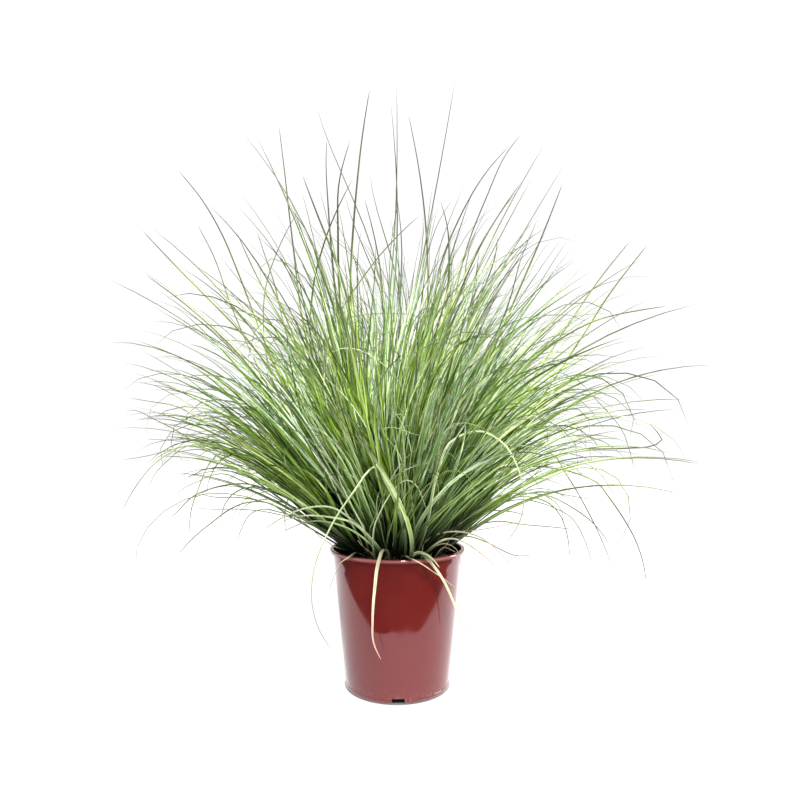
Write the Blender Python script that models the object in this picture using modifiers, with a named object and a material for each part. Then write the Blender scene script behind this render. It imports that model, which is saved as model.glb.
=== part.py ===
"""A clump of ornamental grass in a round nursery pot.

The pot, its potting soil, every tiller (a shoot with its leaves) and every leaf that hangs over
the lip is an object of its own. Lengths are in metres, +Z is up, and the origin is the centre of
the pot's foot. The leaves of all tillers follow one spreading family of curves, so that none
crosses another.
"""

import math
import random

import bmesh
import bpy
from mathutils import Vector

MM = 0.001
GAP = 0.3 * MM

# The pot
POT_HEIGHT = 170 * MM
POT_STEPS = 44
LIP_RADIUS = 86.6 * MM
LIP_DROP = 4.2 * MM
LIP_ROUNDING = 1.2 * MM
WALL_TOP_RADIUS = 83.6 * MM
BASE_RADIUS = 65.2 * MM
WALL = 1.5 * MM
FOOT_ROUNDING = 3 * MM
FOOT_FLAT = 3.2 * MM
FLOOR_LIFT = 4 * MM
ARC_POINTS = 2
POT_TURN = math.radians(1.5)
DRAIN_NOTCHES = 4
NOTCH_WIDTH = 15.5 * MM
NOTCH_HEIGHT = 6.5 * MM
NOTCH_DEPTH = 22 * MM
DRAIN_HOLES = 6
DRAIN_HOLE_RADIUS = 5 * MM
DRAIN_HOLE_RING = 36 * MM
DRAIN_HOLE_SIDES = 10
DRAIN_HOLE_TURN = math.radians(5)
CUTTER_MARGIN = 2 * MM

# The potting soil
SOIL_LEVEL = 156 * MM
SOIL_FALL_TO_WALL = 3 * MM
SOIL_FLAT_RADIUS = 52 * MM
SOIL_STEPS = 36

# The clump of tillers on the soil
TILLERS = 40
CLUMP_RADIUS = 47 * MM
GOLDEN_ANGLE = math.pi * (3 - math.sqrt(5))
SHOOT_RADIUS = 4.4 * MM
SHOOT_FLARE = 1.22
SHOOT_SIDES = 6
SHOOT_STEPS = 3
LEAVES_PER_TILLER = 4
LEAF_RING_RADIUS = 2.6 * MM
LEAF_START_STEP = 2

# The leaves' curves: lean is the angle from upright
LEAN_AT_EDGE = math.radians(50)
LEAN_POWER = 1.15
BEND_AT_CENTRE = math.radians(10)
BEND_MORE_AT_EDGE = math.radians(42)
BEND_POWER = 1.7
LENGTH_AT_CENTRE = 575 * MM
LENGTH_LOSS_AT_EDGE = 0.45
LENGTH_POWER = 1.0
LENGTH_RANGE = (0.78, 1.16)
TRACE_STEP = 5 * MM
REACH = 302 * MM
TOP = 778 * MM
SWAY = 15 * MM
SWAY_WAVE = 480 * MM
SWAY_START = 130 * MM
SWAY_PHASES = (1.0, 2.3)

# The leaves' sections
LEAF_STATIONS = (0.0, 0.1, 0.27, 0.46, 0.65, 0.83, 1.0)
LEAF_WIDTH_RANGE = (7.6 * MM, 9.6 * MM)
LEAF_ROOT_SHARE = 0.36
LEAF_FULL_AT = 0.3
LEAF_TAPER_POWER = 2.2
KEEL_SHARE = 0.3
LEAF_ROLL = math.radians(16)
SEED = 41

# The leaves that hang over the lip: width, then the points they pass through, in millimetres
HANGING_LEAVES = (
    (4.8, ((-8, -55, 0), (-10, -62, 13), (-13, -72, 24), (-17, -82, 24), (-20, -91, 17), (-23, -92, 4),
           (-25, -90, -14), (-27, -86, -34), (-28, -83, -56), (-27, -80, -80), (-18, -80, -100))),
    (6.0, ((13, -55, 0), (16, -63, 11), (20, -72, 17), (25, -80, 20), (33, -88, 18), (41, -88, 9),
           (50, -83, -4), (58, -77, -19), (66, -69, -38), (76, -59, -63), (85, -50, -88))),
    (3.4, ((4, -57, 0), (5, -67, 13), (8, -79, 18), (16, -90, 17), (28, -91, 11), (43, -80, -1),
           (53, -71, -9), (63, -64, -18), (74, -54, -28))),
    (3.0, ((-36, -43, 0), (-42, -50, 11), (-49, -60, 18), (-53, -70, 17), (-59, -72, 13), (-66, -69, 8),
           (-72, -63, -3), (-77, -58, -15), (-83, -52, -30))),
    (3.6, ((34, -42, 0), (37, -45, 11), (43, -49, 21), (50, -54, 26), (57, -57, 28), (65, -59, 26),
           (72, -60, 20), (75, -59, 11), (76, -58, -4))),
    (4.4, ((44, 34, 0), (50, 39, 12), (60, 48, 21), (69, 59, 13), (71, 65, -20), (72, 69, -52),
           (72, 72, -80))),
    (4.8, ((22, 52, 0), (26, 59, 12), (32, 73, 21), (39, 86, 13), (43, 90, -24), (45, 93, -58),
           (44, 96, -92))),
    (4.2, ((-28, 49, 0), (-34, 57, 12), (-44, 69, 21), (-53, 79, 13), (-58, 83, -18), (-60, 87, -50))),
    (4.6, ((-47, 30, 0), (-54, 34, 12), (-65, 42, 21), (-75, 51, 13), (-78, 57, -22), (-80, 63, -58))),
)
HANGING_POINTS_PER_SPAN = 2
HANGING_TAPER_POWER = 2.0

COLOURS = {
    "pot_plastic": ((0.19, 0.022, 0.018), 0.28),
    "potting_soil": ((0.022, 0.014, 0.009), 0.95),
    "leaf_yellow_green": ((0.24, 0.34, 0.07), 0.45),
    "leaf_mid_green": ((0.11, 0.22, 0.06), 0.45),
    "leaf_blue_green": ((0.10, 0.19, 0.10), 0.5),
    "leaf_straw": ((0.62, 0.60, 0.38), 0.6),
}


def clear_scene():
    """Remove everything that the scene starts with."""
    for obj in list(bpy.data.objects):
        bpy.data.objects.remove(obj, do_unlink=True)


def collection(name):
    """Make a collection in the scene."""
    made = bpy.data.collections.new(name)
    bpy.context.scene.collection.children.link(made)
    return made


def make_materials():
    """One Principled material for each finish, by name."""
    made = {}
    for name, (colour, roughness) in COLOURS.items():
        material = bpy.data.materials.new(name)
        material.use_nodes = True
        shader = material.node_tree.nodes["Principled BSDF"]
        shader.inputs["Base Color"].default_value = (*colour, 1)
        shader.inputs["Roughness"].default_value = roughness
        shader.inputs["Metallic"].default_value = 0
        material.diffuse_color = (*colour, 1)
        made[name] = material
    return made


def add_object(name, mesh, home, material=None):
    """Link a mesh into a collection as a named object."""
    obj = bpy.data.objects.new(name, mesh)
    home.objects.link(obj)
    if material:
        mesh.materials.append(material)
    return obj


def make_cutter(obj):
    """Mark an object as a helper that only cuts or joins."""
    obj.hide_render = True
    obj.display_type = "WIRE"
    return obj


def add_boolean(obj, other, operation):
    """Cut obj by another object, or join the two."""
    modifier = obj.modifiers.new(other.name, "BOOLEAN")
    modifier.operation = operation
    modifier.solver = "EXACT"
    modifier.object = other


def turned(name, profile, steps, home, material):
    """A solid turned about Z from (radius, height) points that start and end on the axis."""
    mesh = bpy.data.meshes.new(name)
    points = [(radius, 0, height) for radius, height in profile]
    mesh.from_pydata(points, [(i, i + 1) for i in range(len(points) - 1)], [])
    obj = add_object(name, mesh, home, material)
    screw = obj.modifiers.new("turn", "SCREW")
    screw.axis = "Z"
    screw.steps = steps
    screw.render_steps = steps
    screw.use_merge_vertices = True
    screw.merge_threshold = 1e-5
    screw.use_smooth_shade = True
    return obj


def arc(radius, height, size, start_deg, end_deg):
    """Points on a quarter round about (radius, height)."""
    angles = (
        math.radians(start_deg + (end_deg - start_deg) * i / ARC_POINTS) for i in range(ARC_POINTS + 1)
    )
    return [(radius + size * math.cos(a), height + size * math.sin(a)) for a in angles]


def wall_radius(height):
    """Outer radius of the pot's tapered wall at a height."""
    return BASE_RADIUS + (WALL_TOP_RADIUS - BASE_RADIUS) * height / POT_HEIGHT


def pot_profile():
    """Half section of the pot: floor, wall, turned-down lip, rounded foot and the raised underside."""
    floor_top = FLOOR_LIFT + WALL
    ledge_under = POT_HEIGHT - WALL
    foot_centre = wall_radius(FOOT_ROUNDING) - FOOT_ROUNDING
    foot_inside = foot_centre - FOOT_FLAT
    return [
        (0, floor_top),
        (wall_radius(floor_top) - WALL, floor_top),
        (wall_radius(POT_HEIGHT) - WALL, POT_HEIGHT),
        *arc(LIP_RADIUS - LIP_ROUNDING, POT_HEIGHT - LIP_ROUNDING, LIP_ROUNDING, 90, 0),
        (LIP_RADIUS, POT_HEIGHT - LIP_DROP),
        (LIP_RADIUS - WALL, POT_HEIGHT - LIP_DROP),
        (LIP_RADIUS - WALL, ledge_under),
        (wall_radius(ledge_under), ledge_under),
        *arc(foot_centre, FOOT_ROUNDING, FOOT_ROUNDING, 0, -90),
        (foot_inside, 0),
        (foot_inside, FLOOR_LIFT),
        (0, FLOOR_LIFT),
    ]


def box_cutter(name, size, home):
    """A box of the given size, centred on its own origin."""
    mesh = bpy.data.meshes.new(name)
    bm = bmesh.new()
    bmesh.ops.create_cube(bm, size=1)
    bmesh.ops.scale(bm, vec=Vector(size), verts=bm.verts)
    bm.to_mesh(mesh)
    bm.free()
    return make_cutter(add_object(name, mesh, home))


def drill(name, radius, length, home):
    """An upright cylinder, centred on its own origin."""
    mesh = bpy.data.meshes.new(name)
    bm = bmesh.new()
    bmesh.ops.create_cone(
        bm, cap_ends=True, segments=DRAIN_HOLE_SIDES, radius1=radius, radius2=radius, depth=length
    )
    bm.to_mesh(mesh)
    bm.free()
    return make_cutter(add_object(name, mesh, home))


def make_pot(home, cutters, materials):
    """The thin plastic pot, with a notch at each quarter of its foot and holes in its floor."""
    pot = turned("pot", pot_profile(), POT_STEPS, home, materials["pot_plastic"])
    notch_height = NOTCH_HEIGHT + CUTTER_MARGIN
    for index in range(DRAIN_NOTCHES):
        angle = POT_TURN + math.tau * index / DRAIN_NOTCHES
        notch = box_cutter(f"notch_{index + 1}", (NOTCH_DEPTH, NOTCH_WIDTH, notch_height), cutters)
        radius = BASE_RADIUS + CUTTER_MARGIN - NOTCH_DEPTH / 2
        height = NOTCH_HEIGHT - notch_height / 2
        notch.location = (radius * math.cos(angle), radius * math.sin(angle), height)
        notch.rotation_euler = (0, 0, angle)
        add_boolean(pot, notch, "DIFFERENCE")
    for index in range(DRAIN_HOLES):
        angle = POT_TURN + math.tau * (index + 0.5) / DRAIN_HOLES
        hole = drill(f"drain_hole_{index + 1}", DRAIN_HOLE_RADIUS, WALL + 2 * CUTTER_MARGIN, cutters)
        radius = DRAIN_HOLE_RING
        hole.location = (radius * math.cos(angle), radius * math.sin(angle), FLOOR_LIFT + WALL / 2)
        hole.rotation_euler = (0, 0, DRAIN_HOLE_TURN)
        add_boolean(pot, hole, "DIFFERENCE")
    return pot


def make_soil(home, materials):
    """The potting soil, which fills the pot to a little under its lip."""
    bottom = FLOOR_LIFT + WALL + GAP
    edge_height = SOIL_LEVEL - SOIL_FALL_TO_WALL
    profile = [
        (0, SOIL_LEVEL),
        (SOIL_FLAT_RADIUS, SOIL_LEVEL),
        (wall_radius(edge_height) - WALL - GAP, edge_height),
        (wall_radius(bottom) - WALL - GAP, bottom),
        (0, bottom),
    ]
    return turned("potting_soil", profile, SOIL_STEPS, home, materials["potting_soil"])


def swayed(point):
    """Bend space sideways a little, more with height, so that the leaves aren't quite radial."""
    rise = min(max(point.z - SOIL_LEVEL, 0) / SWAY_START, 1)
    amount = SWAY * rise * rise
    turn = math.tau / SWAY_WAVE
    across = math.sin(turn * (point.y + point.z) + SWAY_PHASES[0])
    along = math.sin(turn * (point.x - point.z) + SWAY_PHASES[1])
    return point + Vector((amount * across, amount * along, 0))


def leaf_line(x, y, length_share):
    """Points along a leaf that leaves the soil at (x, y).

    The lean grows with the distance from the clump's centre and along the leaf. A leaf ends early
    where it would pass the clump's reach or top.
    """
    distance = math.hypot(x, y)
    outward = Vector((x, y, 0)).normalized()
    share = distance / CLUMP_RADIUS
    full = LENGTH_AT_CENTRE * (1 - LENGTH_LOSS_AT_EDGE * min(share, 1) ** LENGTH_POWER)
    lean = LEAN_AT_EDGE * share**LEAN_POWER
    bend = BEND_AT_CENTRE + BEND_MORE_AT_EDGE * share
    radius, height, travelled = distance, SOIL_LEVEL, 0.0
    line = [Vector((x, y, SOIL_LEVEL))]
    while travelled < full * length_share:
        travelled += TRACE_STEP
        angle = lean + bend * (travelled / full) ** BEND_POWER
        radius += TRACE_STEP * math.sin(angle)
        height += TRACE_STEP * math.cos(angle)
        point = swayed(outward * radius + Vector((0, 0, height)))
        if max(abs(point.x), abs(point.y)) > REACH or point.z > TOP:
            break
        line.append(point)
    return line


def point_at(line, share):
    """The point at a share of the way along a line of points, and the direction there."""
    place = share * (len(line) - 1)
    index = min(int(place), len(line) - 2)
    point = line[index].lerp(line[index + 1], place - index)
    before = line[max(index - 1, 0)]
    after = line[min(index + 2, len(line) - 1)]
    return point, (after - before).normalized()


def leaf_width(share, taper_power):
    """Width of a leaf along its length, as a share of its full width."""
    growth = min(share / LEAF_FULL_AT, 1)
    growth = growth * growth * (3 - 2 * growth)
    return (LEAF_ROOT_SHARE + (1 - LEAF_ROOT_SHARE) * growth) * (1 - share**taper_power)


def add_leaf(bm, line, stations, width, roll, side, taper_power):
    """Loft a keeled, tapering leaf along a line: three corners a station, and a point at its tip.

    The side is the leaf's direction across, which turns with the line. The keel is on the
    underside.
    """
    rings = []
    for share in stations[:-1]:
        point, along = point_at(line, share)
        across = (side - along * side.dot(along)).normalized()
        under = across.cross(along)
        across, under = (
            across * math.cos(roll) + under * math.sin(roll),
            under * math.cos(roll) - across * math.sin(roll),
        )
        half = 0.5 * width * leaf_width(share, taper_power)
        keel = 2 * half * KEEL_SHARE
        corners = (point - across * half, point + under * keel, point + across * half)
        rings.append([bm.verts.new(corner) for corner in corners])
    tip = bm.verts.new(line[-1])
    for ring, following in zip(rings, rings[1:]):
        for i in range(3):
            j = (i + 1) % 3
            bm.faces.new((ring[i], ring[j], following[j], following[i]))
    for i in range(3):
        bm.faces.new((rings[-1][i], rings[-1][(i + 1) % 3], tip))
    bm.faces.new(reversed(rings[0]))


def finished_mesh(name, bm):
    """Turn a bmesh into a mesh whose faces point out."""
    bmesh.ops.recalc_face_normals(bm, faces=bm.faces)
    mesh = bpy.data.meshes.new(name)
    bm.to_mesh(mesh)
    bm.free()
    return mesh


def shoot_mesh(name, line):
    """The short firm shoot that a tiller's leaves grow from: flat on the soil, square to its own top."""
    top, along = point_at(line, 1.0)
    levels = (
        (line[0] + Vector((0, 0, GAP)), Vector((0, 0, 1)), SHOOT_RADIUS),
        (top, along, SHOOT_RADIUS * SHOOT_FLARE),
    )
    bm = bmesh.new()
    rings = []
    for centre, normal, radius in levels:
        across = Vector((1, 0, 0)) - normal * normal.x
        across.normalize()
        beside = normal.cross(across)
        angles = [math.tau * i / SHOOT_SIDES for i in range(SHOOT_SIDES)]
        corners = [centre + (across * math.cos(a) + beside * math.sin(a)) * radius for a in angles]
        rings.append([bm.verts.new(corner) for corner in corners])
    low, high = rings
    for i in range(SHOOT_SIDES):
        j = (i + 1) % SHOOT_SIDES
        bm.faces.new((low[i], low[j], high[j], high[i]))
    bm.faces.new(reversed(low))
    bm.faces.new(high)
    return finished_mesh(name, bm)


def leaf_roots(x, y):
    """Where the leaves of a tiller at (x, y) start: a small square, turned to the clump's centre."""
    heading = math.atan2(y, x)
    for index in range(LEAVES_PER_TILLER):
        angle = heading + math.tau * (index + 0.5) / LEAVES_PER_TILLER
        yield x + LEAF_RING_RADIUS * math.cos(angle), y + LEAF_RING_RADIUS * math.sin(angle)


def make_tiller(number, home, joined, material, draw):
    """A shoot with its leaves, joined in one solid."""
    distance = CLUMP_RADIUS * math.sqrt((number - 0.5) / TILLERS)
    angle = number * GOLDEN_ANGLE
    x, y = distance * math.cos(angle), distance * math.sin(angle)
    name = f"tiller_{number:02d}"
    shoot_line = leaf_line(x, y, 1)[: SHOOT_STEPS + 1]
    tiller = add_object(name, shoot_mesh(name, shoot_line), home, material)

    bm = bmesh.new()
    for root_x, root_y in leaf_roots(x, y):
        line = leaf_line(root_x, root_y, draw.uniform(*LENGTH_RANGE))[LEAF_START_STEP:]
        side = Vector((-root_y, root_x, 0)).normalized()
        width = draw.uniform(*LEAF_WIDTH_RANGE)
        roll = draw.uniform(-LEAF_ROLL, LEAF_ROLL)
        add_leaf(bm, line, LEAF_STATIONS, width, roll, side, LEAF_TAPER_POWER)
    leaves = make_cutter(add_object(f"leaves_of_{name}", finished_mesh(f"leaves_of_{name}", bm), joined))
    add_boolean(tiller, leaves, "UNION")
    return tiller


def smooth_line(points):
    """A Catmull-Rom curve through the points."""
    ends = [points[0] * 2 - points[1], *points, points[-1] * 2 - points[-2]]
    line = []
    for a, b, c, d in zip(ends, ends[1:], ends[2:], ends[3:]):
        slope, curve, turn = c - a, 2 * a - 5 * b + 4 * c - d, 3 * b - a - 3 * c + d
        for step in range(HANGING_POINTS_PER_SPAN):
            t = step / HANGING_POINTS_PER_SPAN
            line.append(0.5 * (2 * b + slope * t + curve * t * t + turn * t**3))
    return [*line, points[-1]]


def make_hanging_leaf(number, width, points, home, material):
    """A leaf that grows from the clump's edge and hangs over the lip."""
    start = SOIL_LEVEL + GAP
    line = smooth_line([Vector((x * MM, y * MM, start + z * MM)) for x, y, z in points])
    side = Vector((-points[0][1], points[0][0], 0)).normalized()
    stations = [i / (len(line) - 1) for i in range(len(line))]
    bm = bmesh.new()
    add_leaf(bm, line, stations, width * MM, 0, side, HANGING_TAPER_POWER)
    name = f"hanging_leaf_{number:02d}"
    return add_object(name, finished_mesh(name, bm), home, material)


def main():
    clear_scene()
    home = collection("potted_grass_clump")
    cutters = collection("cutters")
    joined = collection("leaves_to_join")
    materials = make_materials()
    draw = random.Random(SEED)

    make_pot(home, cutters, materials)
    make_soil(home, materials)
    greens = ("leaf_yellow_green", "leaf_mid_green", "leaf_blue_green")
    for number in range(1, TILLERS + 1):
        make_tiller(number, home, joined, materials[greens[number % len(greens)]], draw)
    for number, (width, points) in enumerate(HANGING_LEAVES, 1):
        make_hanging_leaf(number, width, points, home, materials["leaf_straw"])


main()
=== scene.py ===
"""The looks of a potted clump of ornamental grass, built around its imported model.

The pot, the soil, each tiller's lock of fine leaves and each leaf that hangs over the lip take the
place of the plainer solids that they are modelled from. Lengths are in metres, +Z is up, and the
origin is the centre of the pot's foot.
"""

import logging
import math
import random
from dataclasses import dataclass, fields
from enum import Enum

import bmesh
import bpy
import numpy as np
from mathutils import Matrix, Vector, noise


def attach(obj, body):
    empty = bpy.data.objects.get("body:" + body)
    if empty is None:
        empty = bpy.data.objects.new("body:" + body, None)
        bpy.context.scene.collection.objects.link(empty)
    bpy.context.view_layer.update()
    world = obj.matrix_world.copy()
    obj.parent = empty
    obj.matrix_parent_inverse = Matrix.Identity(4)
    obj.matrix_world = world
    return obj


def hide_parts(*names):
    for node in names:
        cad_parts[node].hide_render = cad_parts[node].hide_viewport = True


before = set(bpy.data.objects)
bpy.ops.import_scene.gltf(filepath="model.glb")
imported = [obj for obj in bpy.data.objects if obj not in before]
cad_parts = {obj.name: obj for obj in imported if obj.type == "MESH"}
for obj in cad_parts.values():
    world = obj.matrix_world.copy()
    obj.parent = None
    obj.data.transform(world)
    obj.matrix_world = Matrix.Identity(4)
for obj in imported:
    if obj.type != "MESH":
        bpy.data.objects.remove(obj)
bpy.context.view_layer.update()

LOG = logging.getLogger("potted_grass")
MM = 0.001
BODY = "root"
TINY = 1e-12
MERGE_DISTANCE = 0.01 * MM
GOLDEN_ANGLE = math.pi * (3 - math.sqrt(5))

Colour = tuple[float, float, float]
Pixel = tuple[float, float]
Point = tuple[float, float, float]
Pair = tuple[float, float]
Array = np.ndarray
Socket = bpy.types.NodeSocket
Material = bpy.types.Material
Tree = bpy.types.NodeTree
Draw = np.random.Generator


class Slot(Enum):
    """The record's finishes."""

    POT = "pot_plastic"
    SOIL = "potting_soil"
    YELLOW_GREEN = "leaf_yellow_green"
    MID_GREEN = "leaf_mid_green"
    BLUE_GREEN = "leaf_blue_green"
    STRAW = "leaf_straw"


GREENS = (Slot.YELLOW_GREEN, Slot.MID_GREEN, Slot.BLUE_GREEN)


# ---------------------------------------------------------------- shader helpers


class Graph:
    """Adds nodes to a node tree and joins them."""

    def __init__(self, tree: Tree) -> None:
        """Keep the tree that the nodes go into."""
        self.tree = tree

    def fill(self, node: bpy.types.Node, inputs: dict) -> None:
        """Set or join a node's inputs.

        Args:
            node: the node.
            inputs: a value or another node's output for each named or numbered input.
        """
        for name, value in inputs.items():
            if isinstance(value, Socket):
                self.tree.links.new(value, node.inputs[name])
            else:
                node.inputs[name].default_value = value

    def add(self, kind: str, inputs: dict | None = None, **settings: object) -> bpy.types.Node:
        """Add a node.

        Args:
            kind: the node's type.
            inputs: a value or another node's output for each named or numbered input.
            settings: the node's own properties.

        Returns:
            The new node.
        """
        node = self.tree.nodes.new(kind)
        for name, value in settings.items():
            setattr(node, name, value)
        self.fill(node, inputs or {})
        return node

    def attribute(self, name: str) -> Socket:
        """The value of a named attribute of the mesh."""
        return self.add("ShaderNodeAttribute", attribute_name=name).outputs["Fac"]

    def place(self) -> Socket:
        """The place that is shaded, in the object's own space."""
        return self.add("ShaderNodeTexCoord").outputs["Object"]

    def height(self) -> Socket:
        """The height of the place that is shaded."""
        return self.add("ShaderNodeSeparateXYZ", {0: self.place()}).outputs["Z"]

    def math(self, operation: str, first: object, second: object = 0.0) -> Socket:
        """The result of one operation on two values."""
        return self.add("ShaderNodeMath", {0: first, 1: second}, operation=operation).outputs[0]

    def times(self, first: object, second: object) -> Socket:
        """The product of two values."""
        return self.math("MULTIPLY", first, second)

    def plus(self, first: object, second: object) -> Socket:
        """The sum of two values."""
        return self.math("ADD", first, second)

    def about_half(self, value: object, scale: float) -> Socket:
        """How far a value is above one half, times a scale."""
        return self.times(self.math("SUBTRACT", value, 0.5), scale)

    def ramp(self, value: object, low: float, high: float, start: float = 0.0, end: float = 1.0) -> Socket:
        """A smooth step of a value.

        Args:
            value: what is read.
            low: where the step begins.
            high: where it ends.
            start: what comes out below low.
            end: what comes out above high.

        Returns:
            The output socket.
        """
        inputs = {"Value": value, "From Min": low, "From Max": high, "To Min": start, "To Max": end}
        return self.add("ShaderNodeMapRange", inputs, interpolation_type="SMOOTHSTEP").outputs["Result"]

    def mix(self, share: object, first: object, second: object, blend: str = "MIX") -> Socket:
        """A mix of two colours.

        Args:
            share: how much of the second one there is.
            first: a colour or a socket.
            second: a colour or a socket.
            blend: how the second goes over the first.

        Returns:
            The output socket.
        """
        inputs = {0: share, 6: opaque(first), 7: opaque(second)}
        return self.add("ShaderNodeMix", inputs, data_type="RGBA", blend_type=blend).outputs[2]

    def noise(self, scale: float, detail: float, vector: Socket | None = None) -> Socket:
        """Noise over the object's own space, or over another vector.

        Args:
            scale: how fine the noise is.
            detail: how many finer layers it has.
            vector: the place that is read, if it isn't the object's.

        Returns:
            The output socket.
        """
        inputs = {"Vector": vector or self.place(), "Scale": scale, "Detail": detail}
        return self.add("ShaderNodeTexNoise", inputs).outputs["Fac"]

    def bump(self, height: Socket, depth: float, strength: float = 1.0) -> Socket:
        """The normal of a surface with fine relief."""
        inputs = {"Height": height, "Distance": depth, "Strength": strength}
        return self.add("ShaderNodeBump", inputs).outputs["Normal"]


def opaque(colour: object) -> object:
    """A colour with alpha, if it isn't a socket."""
    return colour if isinstance(colour, Socket) else (*colour, 1.0)


def grey(value: float) -> Colour:
    """An even grey."""
    return value, value, value


def new_group(name: str, inputs: dict[str, str], outputs: dict[str, str]) -> tuple:
    """Start a shader node group.

    Args:
        name: the group's name.
        inputs: the kind of each named input, Color or Float.
        outputs: the kind of each named output.

    Returns:
        The tree, its graph, its input node's outputs and its output node.
    """
    tree = bpy.data.node_groups.new(name, "ShaderNodeTree")
    for way, sockets in (("INPUT", inputs), ("OUTPUT", outputs)):
        for socket, kind in sockets.items():
            tree.interface.new_socket(name=socket, in_out=way, socket_type=f"NodeSocket{kind}")
    graph = Graph(tree)
    return tree, graph, graph.add("NodeGroupInput").outputs, graph.add("NodeGroupOutput")


def new_material(name: str, colour: Colour, roughness: float = 0.5) -> tuple:
    """Start a material with one Principled shader.

    Args:
        name: the material's name.
        colour: the colour that a plain view shows.
        roughness: the shader's own roughness.

    Returns:
        The material, its graph and its shader node.
    """
    material = bpy.data.materials.new(name)
    material.use_nodes = True
    material.diffuse_color = opaque(colour)
    graph, shader = Graph(material.node_tree), material.node_tree.nodes["Principled BSDF"]
    graph.fill(shader, {"Base Color": opaque(colour), "Roughness": roughness})
    return material, graph, shader


# ---------------------------------------------------------------- node groups


@dataclass(frozen=True)
class LeafTissue:
    """What every leaf's finish shares: a blade's colour, roughness and height at each place.

    It reads the mesh attributes along, across, tone, value and dryness. A pair is where a step
    starts and ends, in brightness, in height or along the blade, or what it leads from and to.
    """

    streaks_across: float = 1.4
    streaks_along: float = 9.0
    streaks_apart: float = 90.0
    streak_detail: float = 4.0
    value_share: float = 0.6
    tone_share: float = 0.4
    streak_share: float = 1.9
    margin: Pair = (0.5, 0.95)
    margin_values: Pair = (0.2, 0.9)
    margin_shares: Pair = (0.25, 0.8)
    green_from: Pair = (0.0, 0.5)
    light_from: Pair = (0.45, 1.1)
    # A painted highlight: whitish where a blade is brightest
    gleam_from: Pair = (1.0, 1.7)
    gleam_share: float = 0.7
    gleam: Colour = (0.76, 0.84, 0.62)
    middle_heights: Pair = (0.20, 0.40)
    middle_gain: Colour = (2.34, 2.10, 2.40)
    top_heights: Pair = (0.45, 0.62)
    top_gain: Colour = (0.95, 0.92, 0.84)
    # Where blades darken low down: partly old sheaths, partly painted shade
    sheath_and_shade_heights: Pair = (0.18, 0.30)
    sheath_and_shade_raggedness: float = 0.05
    sheath_and_shade_along: Pair = (0.16, 0.5)
    sheath_and_shade_values: Pair = (0.9, 1.0)
    sheath_and_shade_least: float = 0.45
    tip_raggedness: float = 0.3
    tip_along: Pair = (0.66, 1.0)
    tip_share: float = 0.92
    high_heights: Pair = (0.42, 0.60)
    high_along: Pair = (0.2, 0.65)
    high_share: float = 0.75
    dry_streaks: float = 0.3
    dry_from: Pair = (0.3, 0.9)
    veins: float = 22.0
    vein_relief: float = 0.5
    streak_relief: float = 0.6
    sheen_streaks: Pair = (0.3, 0.7)
    roughness: Pair = (0.34, 0.52)

    def build(self) -> Tree:
        """Make the node group.

        Returns:
            The group, whose inputs are a leaf finish's colours.
        """
        colours = dict.fromkeys(("Root", "Dark", "Green", "Light", "Tip", "Dry", "Shade"), "Color")
        results = {"Color": "Color", "Roughness": "Float", "Height": "Float"}
        tree, graph, given, out = new_group("leaf_tissue", colours, results)
        names = ("along", "across", "tone", "value", "dryness")
        along, across, tone, value, dryness = (graph.attribute(name) for name in names)
        height = graph.height()

        # Long streaks: the noise is stretched along the blade and differs from blade to blade
        scales = ((across, self.streaks_across), (along, self.streaks_along), (tone, self.streaks_apart))
        stretched = {axis: graph.times(*pair) for axis, pair in enumerate(scales)}
        vector = graph.add("ShaderNodeCombineXYZ", stretched).outputs[0]
        streak = graph.noise(1.0, self.streak_detail, vector)

        # Dark, green or pale by the blade's own share, its streaks and its margin
        own = graph.plus(graph.times(value, self.value_share), graph.times(tone, self.tone_share))
        margin = graph.ramp(graph.math("ABSOLUTE", across), *self.margin)
        margin = graph.times(margin, graph.ramp(value, *self.margin_values, *self.margin_shares))
        bright = graph.plus(graph.plus(own, graph.about_half(streak, self.streak_share)), margin)
        colour = graph.mix(graph.ramp(bright, *self.green_from), given["Dark"], given["Green"])
        colour = graph.mix(graph.ramp(bright, *self.light_from), colour, given["Light"])
        # Whitish where the blade is brightest: a painted highlight
        gleaming = graph.ramp(bright, *self.gleam_from, 0.0, self.gleam_share)
        colour = graph.mix(gleaming, colour, self.gleam)

        # Shaded low down, brightest half way up, where most light comes in, and plain at the top
        gain = graph.mix(graph.ramp(height, *self.middle_heights), given["Shade"], self.middle_gain)
        gain = graph.mix(graph.ramp(height, *self.top_heights), gain, self.top_gain)
        colour = graph.mix(1.0, colour, gain, "MULTIPLY")

        # Dark low down on most blades: partly old dark sheaths, partly painted shade deep in the clump
        ragged = graph.plus(height, graph.about_half(streak, self.sheath_and_shade_raggedness))
        low = graph.ramp(ragged, *self.sheath_and_shade_heights, 1.0, 0.0)
        root = graph.times(low, graph.ramp(along, *self.sheath_and_shade_along, 1.0, 0.0))
        root = graph.times(root, graph.ramp(value, *self.sheath_and_shade_values, 1.0, self.sheath_and_shade_least))
        colour = graph.mix(root, colour, given["Root"])

        # The tip's colour, which reaches further down the highest blades, and dried parts
        tipwards = graph.plus(along, graph.about_half(tone, self.tip_raggedness))
        high = graph.ramp(tipwards, *self.high_along, 0.0, self.high_share)
        high = graph.times(graph.ramp(height, *self.high_heights), high)
        tip = graph.math("MAXIMUM", graph.ramp(tipwards, *self.tip_along, 0.0, self.tip_share), high)
        colour = graph.mix(tip, colour, given["Tip"])
        dry = graph.ramp(graph.plus(dryness, graph.times(streak, self.dry_streaks)), *self.dry_from)
        colour = graph.mix(dry, colour, given["Dry"])

        # Fine lengthwise veins
        veins = graph.times(graph.math("SINE", graph.times(across, self.veins)), self.vein_relief)
        relief = graph.plus(veins, graph.times(streak, self.streak_relief))
        roughness = graph.ramp(streak, *self.sheen_streaks, *self.roughness)
        graph.fill(out, {"Color": colour, "Roughness": roughness, "Height": relief})
        return tree


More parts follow.
